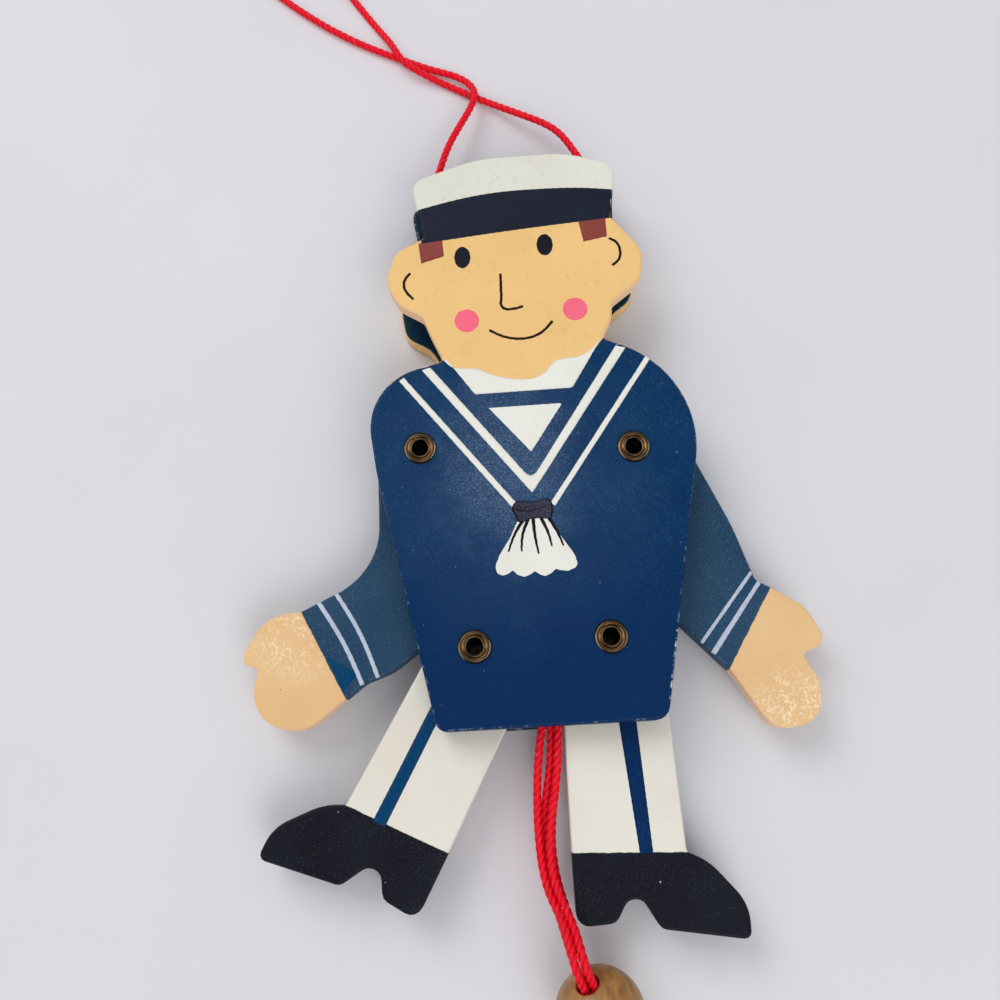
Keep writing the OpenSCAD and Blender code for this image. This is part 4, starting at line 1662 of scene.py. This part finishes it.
@dataclass
class Strings:
    """The four strings from the limbs to the bead, their knots and the knot below the bead.

    Args:
        cord: Their material.
        bead: The bead.
        rope: Their make.
        thin: The make of the knots on the limbs.
        inner: Places along each string between the plates.
        outer: Each string below the hem: its place in the bead's hole, across and down, where it
            comes in line with the hole, and places along it.
        knot: The make of the bead's knot, its width and height, and its place along the bead's hole.
        tied: Width and height of the knots on the limbs.
        tail: Heights of their tails' bends, and the tails' radius.
        depths: Places along the bead's hole that each string then passes.
    """

    cord: Material
    bead: Bead
    rope: Rope = Rope()
    thin: Rope = Rope(0.95, 18)
    inner: tuple[tuple[str, Line], ...] = (
        ("left_arm", (
            (-17.8, 27.4, 10.85), (-15.5, 20, 10.85), (-12.1, 4, 10.85), (-9.4, -12, 10.85),
            (-8.2, -22, 10.85), (-4.6, -30.5, 10.85), (-1, -36, 10.85),
        )),
        ("right_arm", (
            (18.1, 24.05, 10.85), (16.5, 17, 10.85), (12.5, 1, 10.85), (9.6, -13, 10.85),
            (7.6, -21, 10.85), (4.8, -29, 10.85), (2, -36, 10.85),
        )),
        ("left_leg", (
            (-3.0, -21.8, 10.85), (-2.2, -24, 10.85), (-1, -28, 10.75), (0, -32, 10.25), (0.5, -36, 9.55),
        )),
        ("right_leg", (
            (5.3, -16.6, 10.85), (4.4, -20, 10.85), (2.2, -25, 10.85), (0.8, -28.5, 9.45),
            (0.5, -32, 7.95), (0.5, -36, 7.45),
        )),
    )
    outer: tuple[tuple[str, Point, Line], ...] = (
        ("left_pull", (-1, -1, 12.2), (
            (-1, -36, 10.85), (-2.5, -43, 9.9), (-3.5, -51, 8.6), (-3.9, -60, 8), (-2.9, -70, 9.2),
            (-0.2, -77.3, 14.2),
        )),
        ("right_pull", (1, -1, 12.2), (
            (2, -36, 10.85), (1.3, -44, 10), (0, -52, 9.3), (-1.6, -60, 9), (-1.3, -69, 9.8),
            (1.6, -77.4, 14.4),
        )),
        ("middle_pull", (-1, 1, 9.6), (
            (0.5, -36, 9.55), (-0.3, -45, 8.2), (-1.9, -53, 7.2), (-3, -60, 6.4), (-2.7, -68, 7),
            (-0.7, -76.5, 10.9),
        )),
        ("lower_pull", (1, 1, 9.6), (
            (0.5, -36, 7.45), (0.4, -45, 6), (-0.2, -53, 5), (-1.2, -61, 4.6), (-0.9, -68, 5.4),
            (1, -76.1, 10.4),
        )),
    )
    knot: tuple[Rope, float, float, float] = (Rope(2.2), 5.6, 4.0, -9.65)
    tied: Point = (3.4, 1.9)
    tail: tuple[Point, float] = ((10.6, 8.5, 6.5, 4.9), 0.85)
    depths: Point = (8.646, 2.0, -4.0, -8.4)

    def tie(self, limb: str, x: float, y: float) -> None:
        """Makes the knot on a limb, with its tail down through the limb's hole.

        Args:
            limb: The limb.
            x: Place of the hole across.
            y: Its place up the figure.
        """
        shell = self.thin.knotted((x, y, LEVELS.string), *self.tied)
        heights, radius = self.tail
        line = resampled(np.array([(x + 0.02 * k, y, z) for k, z in enumerate(heights)]), 40)
        turn = np.arange(24) / 24 * 2 * np.pi
        section = np.stack([np.cos(turn), -np.sin(turn), 0 * turn], axis=1) * radius
        shell.loft(line[:, None] + section, np.linspace(0, 6, 40))
        shell.piece(f"{limb}_knot_tied", self.cord, f"{limb}_swing", "red_cord", f"{limb}_knot")

    def build(self) -> None:
        """Makes the strings and knots in place of their CAD nodes."""
        for limb, spot in KNOTS.items():
            self.tie(limb, *spot)
        for limb, points in self.inner:
            shell, _ = self.rope.laid(points)
            shell.piece(f"{limb}_string_laid", self.cord, "pull", "red_cord", f"{limb}_string")
        bead = self.bead.build()
        rope, wide, tall, depth = self.knot
        shell = rope.knotted(self.bead.inside(depth), wide, tall, self.bead.axes())
        knot = shell.piece("bead_knot_tied", self.cord, "pull", "red_cord", "bead_knot")
        for name, (across, down, entry), points in self.outer:
            hidden = [self.bead.inside(depth, across, down) for depth in (entry, *self.depths)]
            shell, centres = self.rope.laid([*points, *hidden])
            piece = shell.piece(f"{name}_string_laid", self.cord, "pull", "red_cord", f"{name}_string")
            declare_cord(centres, self.rope)


@dataclass
class Hanger:
    """The hanging cord: round the block between the heads, out over the cap and up to its knot.

    Args:
        cord: Its material.
        rope: Its make.
        corners: Middles of its bends under the block's two corners.
        bend: Radius of those bends.
        level: Its height there.
        knot: The make of the knot on its end, its middle, width and height.
        strands: Places along its left and right strands.
    """

    cord: Material
    rope: Rope = Rope()
    corners: Line = ((-9.0, 68.0), (12.0, 68.0))
    bend: float = 5.35
    level: float = 8.2
    knot: tuple[Rope, Point, float, float] = (Rope(2.0), (-57.5, 177.5, 2.5), 5.0, 4.6)
    strands: tuple[Line, Line] = ((
        (-16.9, 91.5, 8.2), (-15.4, 96, 7.9), (-12.4, 104.5, 6.6), (-6.5, 116.5, 4), (-5.3, 121.4, 3),
        (-8.5, 126.6, 1.8), (-14.5, 130, 1), (-24, 134.5, 1), (-34, 140, 1), (-53.8, 155.6, 1),
        (-60.5, 165, 1), (-60.5, 172, 1.6), (-58.6, 175.4, 2.2),
    ), (
        (21.5, 92, 8.2), (18.6, 97.6, 8), (14, 106.3, 6.4), (7.3, 112.2, 4.4), (-5.3, 121.3, 1.1),
        (-13, 126, 1), (-20, 130, 2.2), (-23, 132.3, 2.9), (-25.2, 136.3, 2.9), (-28.8, 143.3, 1.2),
        (-35.4, 154, 1), (-42, 164, 1), (-49.5, 170.5, 1.4), (-55.6, 175.8, 2.2),
    ))

    def anchor(self) -> list[Point]:
        """The way round the block: down one side, under its two round corners, and up the other.

        Returns:
            Places along it.
        """
        low, high = (arc(c, self.bend, self.bend, a, a + 90.0, 5) for c, a in zip(self.corners, (180.0, 270.0)))
        first, last = (strand[0][:2] for strand in self.strands)
        return [(x, y, self.level) for x, y in (first, *low, *high, last)]

    def build(self) -> None:
        """Makes the cord's three stretches and its knot in place of their CAD nodes."""
        shell, _ = self.rope.laid(self.anchor())
        shell.piece("hanger_anchor_laid", self.cord, "figure", "red_cord", "hanger_anchor_cord")
        shell = self.knot[0].knotted(*self.knot[1:])
        knot = shell.piece("hanger_knot_tied", self.cord, "figure", "red_cord", "hanger_knot")
        for side, points in zip(Side, self.strands):
            shell, centres = self.rope.laid(points)
            node = f"{side.value}_hanger_cord"
            piece = shell.piece(f"{side.value}_hanger_laid", self.cord, "figure", "red_cord", node)
            declare_cord(centres, self.rope)


@dataclass
class Studio:
    """The table, the soft lamps and the camera.

    Args:
        eye: The camera's place, in millimetres.
        right: The picture's way right.
        up: The picture's way up.
        lens: Focal length on a sensor 36 mm wide.
        lamps: Name, place in metres, side in metres and power in watts of each lamp.
        lamp_light: The lamps' colour, 0 to 1.
        room_light: The room's colour, 0 to 1.
        room_power: Its strength.
        table: The table's corners, in metres, just under the toy.
    """

    eye: Point = (-7.0, -44.45, 224.5)
    right: Point = (0.9972, -0.0729, -0.0174)
    up: Point = (0.075, 0.9649, 0.2516)
    lens: float = 36.0
    lamps: tuple[tuple[str, Point, float, float], ...] = (
        ("window", (-0.95, 1.25, 1.5), 1.3, 17.6), ("wall", (0.5, -1.4, 1.4), 1.4, 14.9),
    )
    lamp_light: Point = (1.0, 0.985, 0.97)
    room_light: Point = (0.95, 0.96, 1.0, 1.0)
    room_power: float = 0.52
    table: Line = ((-1.5, -1.5, -0.0001), (1.5, -1.5, -0.0001), (1.5, 1.5, -0.0001), (-1.5, 1.5, -0.0001))

    def stand(self, made: Thing, across: Array, back: Array, spot: Array) -> None:
        """Sets a camera or lamp up.

        Args:
            made: The camera or lamp.
            across: Its way right.
            back: The way from what it looks at.
            spot: Its place, in metres.
        """
        turn = np.column_stack([across, np.cross(back, across), back, spot])
        made.matrix_world = Matrix([*turn.tolist(), [0.0, 0.0, 0.0, 1.0]])

    def build(self) -> None:
        """Sets the camera at the photograph's angle, and the lamps, the room's light and the table."""
        scene = bpy.context.scene
        scene.view_settings.view_transform = "Standard"
        lens = bpy.data.cameras.new("camera")
        lens.lens, lens.sensor_width, lens.sensor_fit = self.lens, 36.0, "HORIZONTAL"
        lens.clip_start, lens.clip_end = 0.01, 20.0
        scene.camera = placed("camera", lens)
        across = unit(np.array(self.right))
        self.stand(scene.camera, across, unit(np.cross(across, self.up)), np.array(self.eye) * MM)
        for name, spot, size, power in self.lamps:
            light = bpy.data.lights.new(name, "AREA")
            light.size, light.energy, light.color = size, power, self.lamp_light
            away = unit(np.array(spot))
            self.stand(placed(name, light), unit(np.cross((0.0, 1.0, 0.0), away)), away, np.array(spot))
        scene.world = bpy.data.worlds.new("room")
        scene.world.use_nodes = True
        back = scene.world.node_tree.nodes["Background"]
        back.inputs["Color"].default_value = self.room_light
        back.inputs["Strength"].default_value = self.room_power
        mesh = bpy.data.meshes.new("table")
        mesh.from_pydata(self.table, [], [(0, 1, 2, 3)])
        r = Recipe("table_top")
        colour = r.layered(
            (226, 226, 231),
            (r.noise(60.0, 3.0).above(0.5, 0.5), (222, 222, 227)),
            (r.dots(9.0, 0.3, 0.12, 4.0) * 0.25, (170, 168, 172)),
        )
        mesh.materials.append(r.finish(colour, 0.6, r.noise(0.8, 3.0) * 0.01, Specular_IOR_Level=0.25))
        placed("table", mesh)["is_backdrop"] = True


def main() -> None:
    """Builds the studio and the toy in order and reports each piece."""
    logging.basicConfig(level=logging.INFO, format="%(message)s")
    Studio().build()
    cord = RedCord().material()
    Hanger(cord).build()
    Strings(cord, Bead()).build()
    paints = Paints()
    face = Plates().dress(paints)
    brass = AntiqueBrass().material()
    for name, pivot in PIVOTS.items():
        Eyelet(f"{name}_eyelet", pivot).build(brass)
    FacePrint(face).build(paints)
    UniformPrint(face).build(paints)
    for limb in LIMBS:
        limb.build(paints)


if __name__ == "__main__":
    main()
    [[list(map(float, c)) for c in box] for box in (cad_box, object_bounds())]
